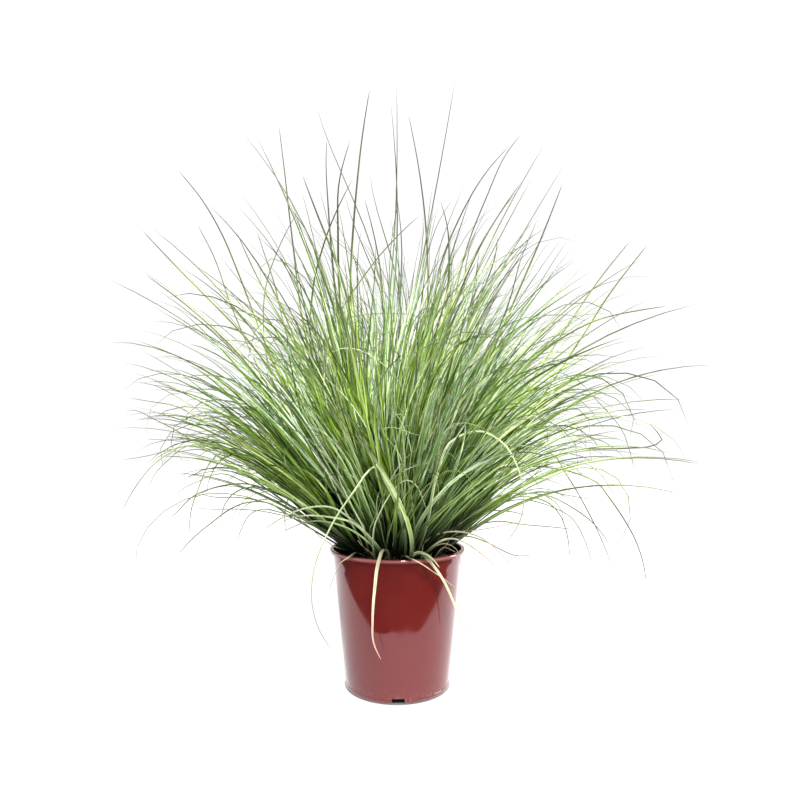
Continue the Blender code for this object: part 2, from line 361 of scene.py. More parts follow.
@dataclass(frozen=True)
class Mottle:
    """Soft patches of a second colour, with fine grain, for the pot and the soil."""

    patch_detail: float = 5.0
    patch_edges: Pair = (0.42, 0.72)
    grain_detail: float = 3.0
    grain_edges: Pair = (0.3, 0.7)
    grain_shares: Pair = (0.5, 1.0)

    def build(self) -> Tree:
        """Make the node group.

        Returns:
            The group.
        """
        numbers = dict.fromkeys(("Patch Scale", "Grain Scale", "Amount"), "Float")
        inputs = {"Base": "Color", "Patch": "Color", **numbers}
        tree, graph, given, out = new_group("mottle", inputs, {"Color": "Color", "Height": "Float"})
        patches = graph.ramp(graph.noise(given["Patch Scale"], self.patch_detail), *self.patch_edges)
        grain = graph.noise(given["Grain Scale"], self.grain_detail)
        grained = graph.ramp(grain, *self.grain_edges, *self.grain_shares)
        mask = graph.times(graph.times(patches, given["Amount"]), grained)
        graph.fill(out, {"Color": graph.mix(mask, given["Base"], given["Patch"]), "Height": grain})
        return tree


# ---------------------------------------------------------------- finishes


@dataclass(frozen=True)
class LeafFinish:
    """Living or dried leaf tissue."""

    slot: Slot
    green: Colour
    light: Colour
    root: Colour
    dark: Colour = (0.013, 0.036, 0.003)
    name: str = ""
    tip: Colour = (0.072, 0.072, 0.056)
    dry: Colour = (0.50, 0.50, 0.30)
    shade: Colour = (0.57, 0.645, 0.385)
    vein_depth: float = 0.12 * MM
    gloss: float = 0.13

    def build(self, tissue: Tree) -> Material:
        """Make the material.

        Args:
            tissue: the node group for leaf tissue.

        Returns:
            The material.
        """
        material, graph, shader = new_material(self.name or self.slot.value, self.green)
        names = ("root", "dark", "green", "light", "tip", "dry", "shade")
        colours = {name.title(): opaque(getattr(self, name)) for name in names}
        blade = graph.add("ShaderNodeGroup", colours, node_tree=tissue).outputs
        normal = graph.bump(blade["Height"], self.vein_depth)
        graph.fill(shader, {"Base Color": blade["Color"], "Roughness": blade["Roughness"]})
        graph.fill(shader, {"Specular IOR Level": self.gloss, "Normal": normal})
        return material


@dataclass(frozen=True)
class PotPlastic:
    """Glossy red-brown moulded plastic, a little dusty low down, with painted highlights: pale at its lip
    and along its foot's bottom edge.
    """

    colour: Colour = (0.076, 0.0056, 0.0041)
    worn: Colour = (0.096, 0.0113, 0.0095)
    worn_scale: float = 14.0
    worn_share: float = 0.35
    dust: Colour = (0.40, 0.26, 0.22)
    dust_top: float = 20 * MM
    dust_share: float = 0.12
    speckle_scale: float = 420.0
    speckle_detail: float = 2.0
    speckle_edges: Pair = (0.5, 0.7)
    # Painted highlights: the lip's top and, speckled, the foot's bottom edge turn pale
    edge_highlight: Colour = (0.27, 0.095, 0.085)
    lip: Pair = (165 * MM, 168 * MM)
    lip_highlight_share: float = 0.42
    foot_edge: Pair = (1.4 * MM, 2.0 * MM)
    foot_share: float = 0.5
    roughness: float = 0.08
    smoother: float = 0.03
    rougher: float = 0.05
    sheen_scale: float = 38.0
    sheen_detail: float = 3.0
    sheen_edges: Pair = (0.3, 0.7)
    ior: float = 1.62
    gloss_tint: Colour = (1.0, 0.74, 0.80)
    grain_scale: float = 900.0
    grain_depth: float = 0.02 * MM
    grain_strength: float = 0.25

    def build(self, mottle: Tree) -> Material:
        """Make the material.

        Args:
            mottle: the node group for soft patches.

        Returns:
            The material.
        """
        material, graph, shader = new_material(Slot.POT.value, self.colour, self.roughness)
        inputs = {"Base": opaque(self.colour), "Patch": opaque(self.worn), "Patch Scale": self.worn_scale}
        inputs |= {"Grain Scale": self.grain_scale, "Amount": self.worn_share}
        patches = graph.add("ShaderNodeGroup", inputs, node_tree=mottle).outputs
        height = graph.height()
        speckle = graph.ramp(graph.noise(self.speckle_scale, self.speckle_detail), *self.speckle_edges)
        dusty = graph.times(graph.ramp(height, 0.0, self.dust_top, self.dust_share, 0.0), speckle)
        colour = graph.mix(dusty, patches["Color"], self.dust)
        # Painted highlights: pale at the lip's top and, speckled, along the foot's bottom edge
        colour = graph.mix(graph.ramp(height, *self.lip, 0.0, self.lip_highlight_share), colour, self.edge_highlight)
        edge = graph.times(graph.ramp(height, *self.foot_edge, self.foot_share, 0.0), speckle)
        colour = graph.mix(edge, colour, self.edge_highlight)
        limits = (self.roughness - self.smoother, self.roughness + self.rougher)
        sheen = graph.ramp(graph.noise(self.sheen_scale, self.sheen_detail), *self.sheen_edges, *limits)
        normal = graph.bump(patches["Height"], self.grain_depth, self.grain_strength)
        graph.fill(shader, {"Base Color": colour, "Roughness": sheen, "Normal": normal})
        graph.fill(shader, {"IOR": self.ior, "Specular Tint": opaque(self.gloss_tint)})
        return material


@dataclass(frozen=True)
class LooseMatter:
    """Soil, bark crumbs or perlite: matte and grainy."""

    name: str
    base: Colour
    patch: Colour
    grain_scale: float
    patch_scale: float
    grain_depth: float
    patch_share: float = 0.9
    roughness: float = 0.92

    def build(self, mottle: Tree) -> Material:
        """Make the material.

        Args:
            mottle: the node group for soft patches.

        Returns:
            The material.
        """
        material, graph, shader = new_material(self.name, self.base, self.roughness)
        inputs = {"Base": opaque(self.base), "Patch": opaque(self.patch), "Amount": self.patch_share}
        inputs |= {"Patch Scale": self.patch_scale, "Grain Scale": self.grain_scale}
        patches = graph.add("ShaderNodeGroup", inputs, node_tree=mottle).outputs
        normal = graph.bump(patches["Height"], self.grain_depth)
        graph.fill(shader, {"Base Color": patches["Color"], "Normal": normal})
        return material


LEAF_FINISHES = (
    LeafFinish(Slot.YELLOW_GREEN, (0.128, 0.222, 0.018), (0.50, 0.62, 0.27), (0.007, 0.012, 0.003)),
    LeafFinish(Slot.MID_GREEN, (0.088, 0.180, 0.021), (0.46, 0.60, 0.33), (0.005, 0.010, 0.003)),
    LeafFinish(Slot.BLUE_GREEN, (0.086, 0.172, 0.042), (0.47, 0.60, 0.43), (0.006, 0.012, 0.005)),
    LeafFinish(
        Slot.STRAW,
        green=(0.26, 0.36, 0.13),
        light=(0.62, 0.60, 0.38),
        root=(0.10, 0.15, 0.04),
        dark=(0.09, 0.12, 0.04),
        tip=(0.50, 0.36, 0.28),
    ),
)
TALL_LEAF_FINISH = LeafFinish(
    Slot.MID_GREEN,
    green=(0.055, 0.085, 0.022),
    light=(0.22, 0.31, 0.08),
    root=(0.008, 0.014, 0.004),
    dark=(0.028, 0.045, 0.010),
    name="tall_leaf",
    tip=(0.055, 0.052, 0.045),
)
SIDE_LEAF_FINISH = LeafFinish(
    Slot.MID_GREEN,
    green=(0.07, 0.105, 0.035),
    light=(0.42, 0.50, 0.24),
    root=(0.008, 0.014, 0.004),
    dark=(0.03, 0.045, 0.016),
    name="side_leaf",
    tip=(0.050, 0.046, 0.044),
)
HANGING_LEAF_FINISH = LeafFinish(
    Slot.STRAW,
    green=(0.25, 0.36, 0.17),
    light=(0.62, 0.57, 0.38),
    root=(0.05, 0.08, 0.03),
    dark=(0.16, 0.24, 0.10),
    name="hanging_leaf",
    tip=(0.54, 0.35, 0.29),
    shade=(0.95, 0.88, 0.92),
)
FRONT_LEAF_FINISH = LeafFinish(
    Slot.STRAW,
    green=(0.25, 0.34, 0.15),
    light=(0.48, 0.54, 0.35),
    root=(0.02, 0.035, 0.01),
    dark=(0.08, 0.13, 0.03),
    name="front_leaf",
    tip=(0.17, 0.15, 0.11),
    shade=(0.80, 0.80, 0.72),
)
MATTER_FINISHES = (
    LooseMatter("potting_soil", (0.012, 0.008, 0.005), (0.05, 0.03, 0.017), 900.0, 160.0, 0.6 * MM),
    LooseMatter("bark_crumb", (0.028, 0.016, 0.009), (0.10, 0.055, 0.03), 1200.0, 240.0, 0.3 * MM),
    LooseMatter("perlite", (0.62, 0.60, 0.55), (0.40, 0.37, 0.32), 1600.0, 400.0, 0.2 * MM),
)


# ---------------------------------------------------------------- objects and lines


def add_object(
    name: str, points: list, faces: list, material: Material, edges: list | tuple = ()
) -> bpy.types.Object:
    """Make a mesh and link it into the scene as a named object.

    Args:
        name: the object's name.
        points: the places of its vertices.
        faces: the vertices of each face.
        material: its finish.
        edges: the vertices of each edge that no face has.

    Returns:
        The object.
    """
    mesh = bpy.data.meshes.new(name)
    mesh.from_pydata(points, edges, faces)
    mesh.materials.append(material)
    obj = bpy.data.objects.new(name, mesh)
    bpy.context.scene.collection.objects.link(obj)
    return obj


def stand_for(obj: bpy.types.Object, slot: Slot, *nodes: str) -> None:
    """Ride on the body and replace solids.

    Args:
        obj: the piece.
        slot: the record's slot; not used.
        nodes: the solids that it replaces.
    """
    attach(obj, BODY)
    if nodes:
        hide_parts(*nodes)


def unit(vectors: Array) -> Array:
    """Vectors of length one, in the same directions."""
    return vectors / np.maximum(np.linalg.norm(vectors, axis=-1, keepdims=True), TINY)


def polar(angles: Array, distances: Array | float) -> Array:
    """X and Y of points at some angles and distances."""
    return np.stack((distances * np.cos(angles), distances * np.sin(angles)), axis=1)


def smooth_line(points: Array, count: int, span_steps: int = 16) -> Array:
    """A smooth curve through some points, however unevenly they are spaced.

    Args:
        points: the points that it passes.
        count: how many evenly spaced points the result has.
        span_steps: how finely each span is worked out.

    Returns:
        The points along the curve.
    """
    spans = np.linalg.norm(np.diff(points, axis=0), axis=1)[:, None]
    slopes = np.diff(points, axis=0) / spans
    inner = (slopes[1:] * spans[:-1] + slopes[:-1] * spans[1:]) / (spans[:-1] + spans[1:])
    first = 1.5 * slopes[:1] - 0.5 * inner[:1]
    last = 1.5 * slopes[-1:] - 0.5 * inner[-1:]
    tangents = np.vstack((first, inner, last))

    # Hermite's cubic over each span, by its ends and their slopes
    t = np.linspace(0, 1, span_steps, endpoint=False)[:, None]
    curve = [
        (2 * t**3 - 3 * t**2 + 1) * a
        + (t**3 - 2 * t**2 + t) * span * start
        + (3 * t**2 - 2 * t**3) * b
        + (t**3 - t**2) * span * end
        for a, b, span, start, end in zip(points, points[1:], spans, tangents, tangents[1:])
    ]
    return resampled(np.vstack((*curve, points[-1:])), count)


def resampled(line: Array, count: int) -> Array:
    """Evenly spaced points along a line of points.

    Args:
        line: the points of the line.
        count: how many the result has.

    Returns:
        The points, with the line's own ends.
    """
    steps = np.linalg.norm(np.diff(line, axis=0), axis=1)
    travelled = np.concatenate(((0.0,), np.cumsum(steps)))
    wanted = np.linspace(0, travelled[-1], count)
    return np.stack([np.interp(wanted, travelled, line[:, axis]) for axis in range(3)], axis=1)


def grown(roots: Array, level: float, step: Array, tilt: Array, heading: Array) -> tuple[Array, Array]:
    """The points of some leaves, found step by step from their roots.

    Args:
        roots: where each leaves the soil, X and Y.
        level: the height of the roots.
        step: the length of each step.
        tilt: how far each step leans from upright.
        heading: the direction that it leans in, seen from above.

    Returns:
        The roots in space, and the points after each step.
    """
    out = step * np.sin(tilt)
    moves = np.stack((out * np.cos(heading), out * np.sin(heading), step * np.cos(tilt)), axis=-1)
    start = np.concatenate((roots, np.full((len(roots), 1), level)), axis=1)[:, None]
    return start, start + np.cumsum(moves, axis=1)


# ---------------------------------------------------------------- leaves


# A blade's section has four corners: its two edges, and the two faces of its fold
CORNERS = 4


@dataclass(frozen=True)
class BladeForm:
    """The outline and section that a batch of leaf blades shares."""

    stations: int = 18
    root_share: float = 0.5
    full_at: float = 0.16
    tip_power: float = 0.74
    fold: float = 0.44
    thickness: float = 0.3 * MM
    sharp_angle: float = math.radians(50)

    def outline(self) -> Array:
        """How wide a blade is along its length: it swells from its root and tapers to its tip.

        Returns:
            The width at each station but the tip, as a share of the full width.
        """
        share = np.linspace(0, 1, self.stations)[:-1]
        growth = np.minimum(share / self.full_at, 1)
        growth = growth * growth * (3 - 2 * growth)
        return (self.root_share + (1 - self.root_share) * growth) * (1 - share) ** self.tip_power


@dataclass
class Blades:
    """A batch of leaf blades: their centre lines, and one value of each kind for each blade."""

    lines: Array
    widths: Array
    rolls: Array
    twists: Array
    tones: Array
    values: Array
    dryness: Array

    def joined(self, other: "Blades") -> "Blades":
        """Both batches as one."""
        names = [field.name for field in fields(self)]
        return Blades(*(np.concatenate((getattr(self, n), getattr(other, n))) for n in names))

    def sections(self, form: BladeForm) -> tuple[Array, Array]:
        """The directions across and under each blade at each station.

        Args:
            form: the batch's shared form.

        Returns:
            Two arrays of unit vectors. The direction across starts level, square to the way outwards
            from the clump's centre. It turns with the line, and then by the blade's roll and twist.
        """
        along = unit(np.gradient(self.lines, axis=1))
        side = np.empty_like(along)
        x, y = self.lines[:, 0, 0], self.lines[:, 0, 1]
        before = unit(np.stack((-y, x, np.zeros(len(x))), axis=1))
        for station in range(self.lines.shape[1]):
            direction = along[:, station]
            before = unit(before - direction * np.sum(before * direction, axis=1, keepdims=True))
            side[:, station] = before
        under = np.cross(side, along)
        share = np.linspace(0, 1, form.stations)
        turn = (self.rolls[:, None] + self.twists[:, None] * share)[:, :, None]
        return side * np.cos(turn) + under * np.sin(turn), under * np.cos(turn) - side * np.sin(turn)

    def points(self, form: BladeForm) -> Array:
        """The corners of each blade's sections from its root on, and then its tip.

        Args:
            form: the batch's shared form.

        Returns:
            The points of each blade.
        """
        middle = self.lines[:, :-1]
        across, under = (directions[:, :-1] for directions in self.sections(form))
        half = (0.5 * self.widths[:, None] * form.outline())[:, :, None]
        channel = middle + under * (2 * half * form.fold)
        back = channel + under * np.minimum(form.thickness, half)
        corners = np.stack((middle - across * half, back, middle + across * half, channel), axis=2)
        return np.concatenate((corners.reshape(len(middle), -1, 3), self.lines[:, -1:]), axis=1)

    def build(self, name: str, form: BladeForm, material: Material, slot: Slot, *nodes: str) -> None:
        """Make one closed, folded strip for each blade, all in one piece.

        Args:
            name: the piece's name.
            form: the batch's shared form.
            material: the blades' finish.
            slot: the record's slot for the piece.
            nodes: the solids that it replaces.
        """
        count, rings = len(self.lines), form.stations - 1
        size = rings * CORNERS + 1
        ring = np.arange(rings - 1)[:, None] * CORNERS
        place = np.arange(CORNERS)
        beside = (place + 1) % CORNERS
        sides = (ring + place, ring + beside, ring + CORNERS + beside, ring + CORNERS + place)
        quads = np.stack(sides, axis=2).reshape(-1, CORNERS)
        last = (rings - 1) * CORNERS
        tip_sides = [(last + i, last + (i + 1) % CORNERS, size - 1) for i in range(CORNERS)]
        root_end = [(0, 3, 1), (1, 3, 2)]
        faces = []
        for start in range(0, count * size, size):
            faces += (quads + start).tolist()
            faces += [tuple(corner + start for corner in cap) for cap in tip_sides + root_end]
        obj = add_object(name, self.points(form).reshape(-1, 3).tolist(), faces, material)

        share = np.append(np.repeat(np.linspace(0, 1, form.stations)[:-1], CORNERS), 1.0)
        width_place = np.append(np.tile((-1.0, 0.0, 1.0, 0.0), rings), 0.0)
        attributes = {"along": np.tile(share, count), "across": np.tile(width_place, count)}
        for kind, numbers in (("tone", self.tones), ("value", self.values), ("dryness", self.dryness)):
            attributes[kind] = np.repeat(numbers, size)
        for kind, numbers in attributes.items():
            data = obj.data.attributes.new(kind, "FLOAT", "POINT").data
            data.foreach_set("value", numbers.astype(np.float32))
        obj.data.shade_smooth()
        obj.data.set_sharp_from_angle(angle=form.sharp_angle)
        stand_for(obj, slot, *nodes)


@dataclass(frozen=True)
class Fountain:
    """The spreading family of curves that the clump's leaves follow, as the solids do."""

    soil_level: float = 156 * MM
    clump_radius: float = 47 * MM
    lean_at_edge: float = math.radians(50)
    lean_power: float = 1.15
    bend_at_centre: float = math.radians(10)
    bend_more_at_edge: float = math.radians(42)
    bend_power: float = 1.7
    length_at_centre: float = 575 * MM
    length_loss_at_edge: float = 0.45
    nod_start: float = 0.55
    nod_stretch: float = 0.45
    reach: float = 301.5 * MM
    top: float = 775 * MM
    sway: float = 15 * MM
    sway_wave: float = 480 * MM
    sway_start: float = 130 * MM
    sway_phases: Pair = (1.0, 2.3)
    wander_turns: float = 2.5 * math.pi
    wander_phase: float = 40.0
    wander_lean: float = 0.4
    steps: int = 72
    least_points: int = 3

    def full_length(self, share: Array) -> Array:
        """How long a leaf is that grows at a share of the clump's radius."""
        return self.length_at_centre * (1 - self.length_loss_at_edge * np.minimum(share, 1))

    def swayed(self, points: Array) -> Array:
        """Bend leaves sideways a little, more with height, so that they aren't quite radial.

        Args:
            points: the leaves' points.

        Returns:
            The points where they end up.
        """
        x, y, z = points[..., 0], points[..., 1], points[..., 2]
        rise = np.clip((z - self.soil_level) / self.sway_start, 0, 1)
        amount = self.sway * rise * rise
        turn = math.tau / self.sway_wave
        across = amount * np.sin(turn * (y + z) + self.sway_phases[0])
        along = amount * np.sin(turn * (x - z) + self.sway_phases[1])
        return points + np.stack((across, along, np.zeros_like(z)), axis=-1)

    def lines(
        self,
        roots: Array,
        headings: Array,
        shares: Array,
        length_shares: Array,
        curls: Array,
        nods: Array,
        waves: Array,
        count: int,
    ) -> Array:
        """The centre lines of some leaves.

        Args:
            roots: where each leaves the soil, X and Y.
            headings: the direction that each leans in, seen from above.
            shares: how far from the clump's centre each seems to grow, as a share of its radius.
            length_shares: how long each is, as a share of the full length there.
            curls: how far each turns sideways by its tip.
            nods: how much more each bends near its tip.
            waves: how far each wanders to and fro.
            count: how many points a line has.

        Returns:
            The lines. A leaf ends early where it would pass the clump's reach or top.
        """
        lean = (self.lean_at_edge * shares**self.lean_power)[:, None]
        bend = (self.bend_at_centre + self.bend_more_at_edge * shares)[:, None]
        t = (np.arange(self.steps) + 1) / self.steps
        step = self.full_length(shares)[:, None] * length_shares[:, None] / self.steps
        late = np.clip((t - self.nod_start) / self.nod_stretch, 0, 1) ** 2
        angle = lean + bend * (t * length_shares[:, None]) ** self.bend_power + nods[:, None] * late
        heading = headings[:, None] + curls[:, None] * t * t
        phase = self.wander_turns * t + self.wander_phase * curls[:, None]
        heading += waves[:, None] * np.sin(phase)
        angle += self.wander_lean * waves[:, None] * np.cos(phase)
        start, points = grown(roots, self.soil_level, step, angle, heading)
        points = np.concatenate((start, self.swayed(points)), axis=1)
        outside = (np.abs(points[..., :2]).max(axis=-1) > self.reach) | (points[..., 2] > self.top)
        ends = np.where(outside.any(axis=1), outside.argmax(axis=1), self.steps + 1)
        kept = [line[: max(end, self.least_points)] for line, end in zip(points, ends)]
        return np.stack([resampled(line, count) for line in kept])


@dataclass(frozen=True)
class Tillers:
    """All the shoots of the clump, each with its lock of fine leaves.

    Each has a few leading leaves, which its solid has too, and many finer followers. A scatter, curl,
    wave, roll or twist is the spread of a normal draw. A pair is the least and greatest value, and a
    name that ends in draw has all the values that its kind of random draw takes.
    """

    fountain: Fountain
    form: BladeForm = BladeForm()
    count: int = 40
    leads: int = 4
    lead_ring: float = 2.6 * MM
    lead_lengths: Pair = (0.78, 1.16)
    lead_widths: Pair = (7.6 * MM, 9.6 * MM)
    lead_roll: float = math.radians(16)
    lead_twist: float = 2.0
    lead_tones: Pair = (0.15, 0.9)
    lead_values: Pair = (0.9, 0.3)
    lead_seed: int = 41
    slimming: float = 0.62

    followers: int = 52
    spread: float = 7.0 * MM
    seed: int = 7
    tuft_share: float = 0.80
    tuft_share_scatter: float = 0.08
    share_scatter: float = 0.15
    least_share: float = 0.03
    greatest_share: float = 0.95
    droop_greatest_share: float = 1.15
    tuft_heading_scatter: float = 0.12
    tuft_heading_more_at_centre: float = 0.5
    heading_scatter: float = 0.22
    heading_more_at_centre: float = 0.25
    length_draw: Point = (0.34, 0.74, 1.06)
    length_at_centre: float = 0.82
    length_more_outwards: float = 0.34
    tuft_curl: float = 0.15
    curl: float = 0.42
    nod_shape: float = 1.2
    nod_at_centre: float = 0.18
    nod_more_outwards: float = 0.3
    wave: float = 0.14
    widths: Pair = (1.8 * MM, 7.0 * MM)
    width_least: float = 0.7
    width_with_length: float = 0.3
    roll: float = 0.6
    twist: float = 1.3
    tone_draw: Pair = (0.8, 1.0)
    value_draw: Pair = (0.5, 0.55)

    drooping: float = 0.14
    droop_outwards: float = 0.2
    droop_length: float = 0.12
    droop_nods: Pair = (0.5, 1.7)
    droop_narrowing: float = 0.3
    dried: float = 0.012
    dried_dryness: Pair = (0.4, 0.8)
    fresh_dryness: Pair = (0, 0.15)

    front_lift: float = 0.2
    front_parting: float = 0.4
    parting_width: float = 0.35
    left_shade: float = 0.72
    left_from: float = 0.5
    gap_place: float = 2 * MM
    gap_width: float = 11 * MM
    gap_push: float = 11 * MM
    gap_shade: float = 0.9

    def place(self, number: int) -> Pair:
        """Where a tiller stands: on a sunflower's spiral, which fills the clump evenly.

        Args:
            number: the tiller's number, counted from the middle.

        Returns:
            X and Y.
        """
        distance = self.fountain.clump_radius * math.sqrt((number - 0.5) / self.count)
        angle = number * GOLDEN_ANGLE
        return distance * math.cos(angle), distance * math.sin(angle)

    def gap_share(self, roots: Array) -> Array:
        """How far leaves with these roots stand in the dark gap at the clump's front, from 0 to 1."""
        front = np.clip(-roots[:, 1] / self.fountain.clump_radius, 0, 1)
        return front * np.exp(-(((roots[:, 0] - self.gap_place) / self.gap_width) ** 2))

    def lead_blades(self, x: float, y: float, draw: random.Random) -> Blades:
        """The leaves that the tiller's solid has too.

        Args:
            x: the tiller's place.
            y: the tiller's place.
            draw: the clump's random source, which gives each leaf its length, width and roll.

        Returns:
            The blades.
        """
        angles = math.atan2(y, x) + math.tau * (np.arange(self.leads) + 0.5) / self.leads
        roots = (x, y) + polar(angles, self.lead_ring)
        limits = (self.lead_lengths, self.lead_widths, (-self.lead_roll, self.lead_roll))
        draws = np.array([[draw.uniform(*pair) for pair in limits] for _ in range(self.leads)])
        lengths, widths, rolls = draws.T
        still = np.zeros(self.leads)
        headings = np.arctan2(roots[:, 1], roots[:, 0])
        shares = np.hypot(*roots.T) / self.fountain.clump_radius
        shapes = (headings, shares, lengths, still, still, still)
        # Leads in the front gap are darker: painted shade
        return Blades(
            self.fountain.lines(roots, *shapes, self.form.stations),
            widths * self.slimming,
            rolls,
            rolls * self.lead_twist,
            np.linspace(*self.lead_tones, self.leads),
            np.linspace(*self.lead_values, self.leads) * (1 - self.gap_shade * self.gap_share(roots)),
            still,
        )

    def follower_blades(self, x: float, y: float, draw: Draw) -> Blades:
        """The finer leaves around the leading ones.

        Args:
            x: the tiller's place.
            y: the tiller's place.
            draw: the clump's random source.

        Returns:
            The blades.
        """
        n = self.followers
        around, away = draw.uniform(0, math.tau, n), self.spread * np.sqrt(draw.uniform(0, 1, n))
        roots = (x, y) + polar(around, away)
        roots[:, 0] += self.gap_push * self.gap_share(roots) * np.sign(roots[:, 0] - self.gap_place)

        # How far out the lock seems to grow, and each of its leaves
        share = math.hypot(x, y) / self.fountain.clump_radius
        tuft_share = self.tuft_share * share + draw.normal(0, self.tuft_share_scatter)
        droops = draw.uniform(0, 1, n) < self.drooping * share
        shares = tuft_share + draw.normal(0, self.share_scatter, n) + self.droop_outwards * droops
        greatest = np.where(droops, self.droop_greatest_share, self.greatest_share)
        shares = np.clip(shares, self.least_share, greatest)

        # Which way they lean: the front ones less far, and parted to both sides of the way to -Y
        scatter = self.tuft_heading_scatter + self.tuft_heading_more_at_centre * (1 - share)
        tuft_heading = math.atan2(y, x) + draw.normal(0, scatter)
        shares *= 1 - self.front_lift * max(0.0, -math.sin(tuft_heading))
        scatter = self.heading_scatter + self.heading_more_at_centre * (1 - share)
        headings = tuft_heading + draw.normal(0, scatter, n)
        aside = np.remainder(headings + 1.5 * math.pi, math.tau) - math.pi
        parting = np.exp(-((aside / self.parting_width) ** 2))
        headings += self.front_parting * share * np.sign(aside) * parting

        scale = self.length_at_centre + self.length_more_outwards * shares
        lengths = draw.triangular(*self.length_draw, n) * scale + self.droop_length * droops
        curls = draw.normal(0, self.tuft_curl) + draw.normal(0, self.curl, n)
        nods = draw.gamma(self.nod_shape, self.nod_at_centre + self.nod_more_outwards * share, n)
        nods = nods + droops * draw.uniform(*self.droop_nods, n)
        waves = draw.normal(0, self.wave, n)
        shapes = (headings, shares, lengths, curls, nods, waves)
        lines = self.fountain.lines(roots, *shapes, self.form.stations)

        widths = draw.uniform(*self.widths, n) * (self.width_least + self.width_with_length * lengths)
        widths *= 1 - self.droop_narrowing * droops
        rolls = draw.normal(0, self.roll, n)
        twists = draw.normal(0, self.twist, n)
        is_dried = draw.uniform(0, 1, n) < self.dried
        dried, fresh = (draw.uniform(*pair, n) for pair in (self.dried_dryness, self.fresh_dryness))
        tones = draw.beta(*self.tone_draw, n)
        # Leaves that lean to the left are darker: painted shade
        leftwards = np.clip(self.left_from - np.cos(headings), 0, 1)
        values = draw.beta(*self.value_draw, n) * (1 - self.left_shade * share * leftwards)
        # Followers in the front gap are darker too: painted shade
        values *= 1 - self.gap_shade * self.gap_share(roots)
        dryness = np.where(is_dried, dried, fresh)
        return Blades(lines, widths, rolls, twists, tones, values, dryness)

    def build(self, materials: dict[Slot, Material]) -> None:
        """Make every tiller's lock of leaves.

        Args:
            materials: the finish for each slot.
        """
        lead_draw, draw = random.Random(self.lead_seed), np.random.default_rng(self.seed)
        for number in range(1, self.count + 1):
            place = self.place(number)
            blades = self.lead_blades(*place, lead_draw).joined(self.follower_blades(*place, draw))
            slot = GREENS[number % len(GREENS)]
            node = f"tiller_{number:02d}"
            blades.build(f"{node}_leaves", self.form, materials[slot], slot, node)
        LOG.info("%d tillers, each with %d leaves", self.count, self.leads + self.followers)


# Each one's width in millimetres, how pale it is, from green to cream, and the places that its middle
# line passes, in millimetres from the pot's axis and from the soil
HANGING_LEAVES = (
    (4.8, 1.0, ((-8, -55, 0), (-10, -62, 13), (-13, -72, 24), (-17, -82, 24), (-20, -91, 17),
                (-23, -92, 4), (-25, -90, -14), (-27, -86, -34), (-28, -83, -56), (-27, -80, -80),
                (-18, -80, -100))),
    (6.0, 0.72, ((13, -55, 0), (16, -63, 11), (20, -72, 17), (25, -80, 20), (33, -88, 18),
                 (41, -88, 9), (50, -83, -4), (58, -77, -19), (66, -69, -38), (76, -59, -63),
                 (85, -50, -88))),
    (3.4, 0.95, ((4, -57, 0), (5, -67, 13), (8, -79, 18), (16, -90, 17), (28, -91, 11), (43, -80, -1),
                 (53, -71, -9), (63, -64, -18), (74, -54, -28))),
    (3.0, 0.9, ((-36, -43, 0), (-42, -50, 11), (-49, -60, 18), (-53, -70, 17), (-59, -72, 13),
                (-66, -69, 8), (-72, -63, -3), (-77, -58, -15), (-83, -52, -30))),
    (3.6, 0.6, ((34, -42, 0), (37, -45, 11), (43, -49, 21), (50, -54, 26), (57, -57, 28),
                (65, -59, 26), (72, -60, 20), (75, -59, 11), (76, -58, -4))),
    (4.4, 0.7, ((44, 34, 0), (50, 39, 12), (60, 48, 21), (69, 59, 13), (71, 65, -20), (72, 69, -52),
                (72, 72, -80))),
    (4.8, 0.8, ((22, 52, 0), (26, 59, 12), (32, 73, 21), (39, 86, 13), (43, 90, -24), (45, 93, -58),
                (44, 96, -92))),
    (4.2, 0.45, ((-28, 49, 0), (-34, 57, 12), (-44, 69, 21), (-53, 79, 13), (-58, 83, -18),
                 (-60, 87, -50))),
    (4.6, 0.6, ((-47, 30, 0), (-54, 34, 12), (-65, 42, 21), (-75, 51, 13), (-78, 57, -22),
                (-80, 63, -58))),
)


@dataclass(frozen=True)
class HangingLeaves:
    """The older, pale leaves that hang over the pot's lip."""

    soil_level: float = 156.3 * MM
    form: BladeForm = BladeForm(44, 0.55, full_at=0.2, tip_power=0.5, fold=0.2, thickness=0.4 * MM)
    twist: float = 0.25
    least_value: float = 0.3
    value_with_tone: float = 0.65
    seed: int = 3

    def build(self, material: Material) -> None:
        """Make every hanging leaf.

        Args:
            material: their finish.
        """
        draw = np.random.default_rng(self.seed)
        for number, (width, tone, points) in enumerate(HANGING_LEAVES, 1):
            places = np.array(points, float) * MM + (0, 0, self.soil_level)
            blade = Blades(
                smooth_line(places, self.form.stations)[None],
                np.array([width * MM]),
                np.zeros(1),
                draw.normal(0, self.twist, 1),
                np.array([tone]),
                np.array([self.least_value + self.value_with_tone * tone]),
                np.zeros(1),
            )
            name, node = f"draped_leaf_{number:02d}", f"hanging_leaf_{number:02d}"
            blade.build(name, self.form, material, Slot.STRAW, node)
        LOG.info("%d hanging leaves", len(HANGING_LEAVES))


@dataclass(frozen=True)
class PhotoView:
    """Where the photograph was taken from, which gives a place to what is read from it."""

    frame_px: float = 800.0
    focal_px: float = 600.0
    place: Point = (0.0034, -0.784, 0.3123)
    pitch: float = math.radians(3.45)

    def point(self, pixel: Pixel, y: float) -> Array:
        """The point seen at a pixel.

        Args:
            pixel: the pixel.
            y: the point's own Y.

        Returns:
            The point.
        """
        right = (pixel[0] - self.frame_px / 2) / self.focal_px
        up = (self.frame_px / 2 - pixel[1]) / self.focal_px
        sine, cosine = math.sin(self.pitch), math.cos(self.pitch)
        ray = np.array((right, cosine - up * sine, sine + up * cosine))
        return np.array(self.place) + ray * (y - self.place[1]) / ray[1]

    def pixel_size(self, y: float) -> float:
        """How wide one pixel is at a given Y."""
        return (y - self.place[1]) / self.focal_px


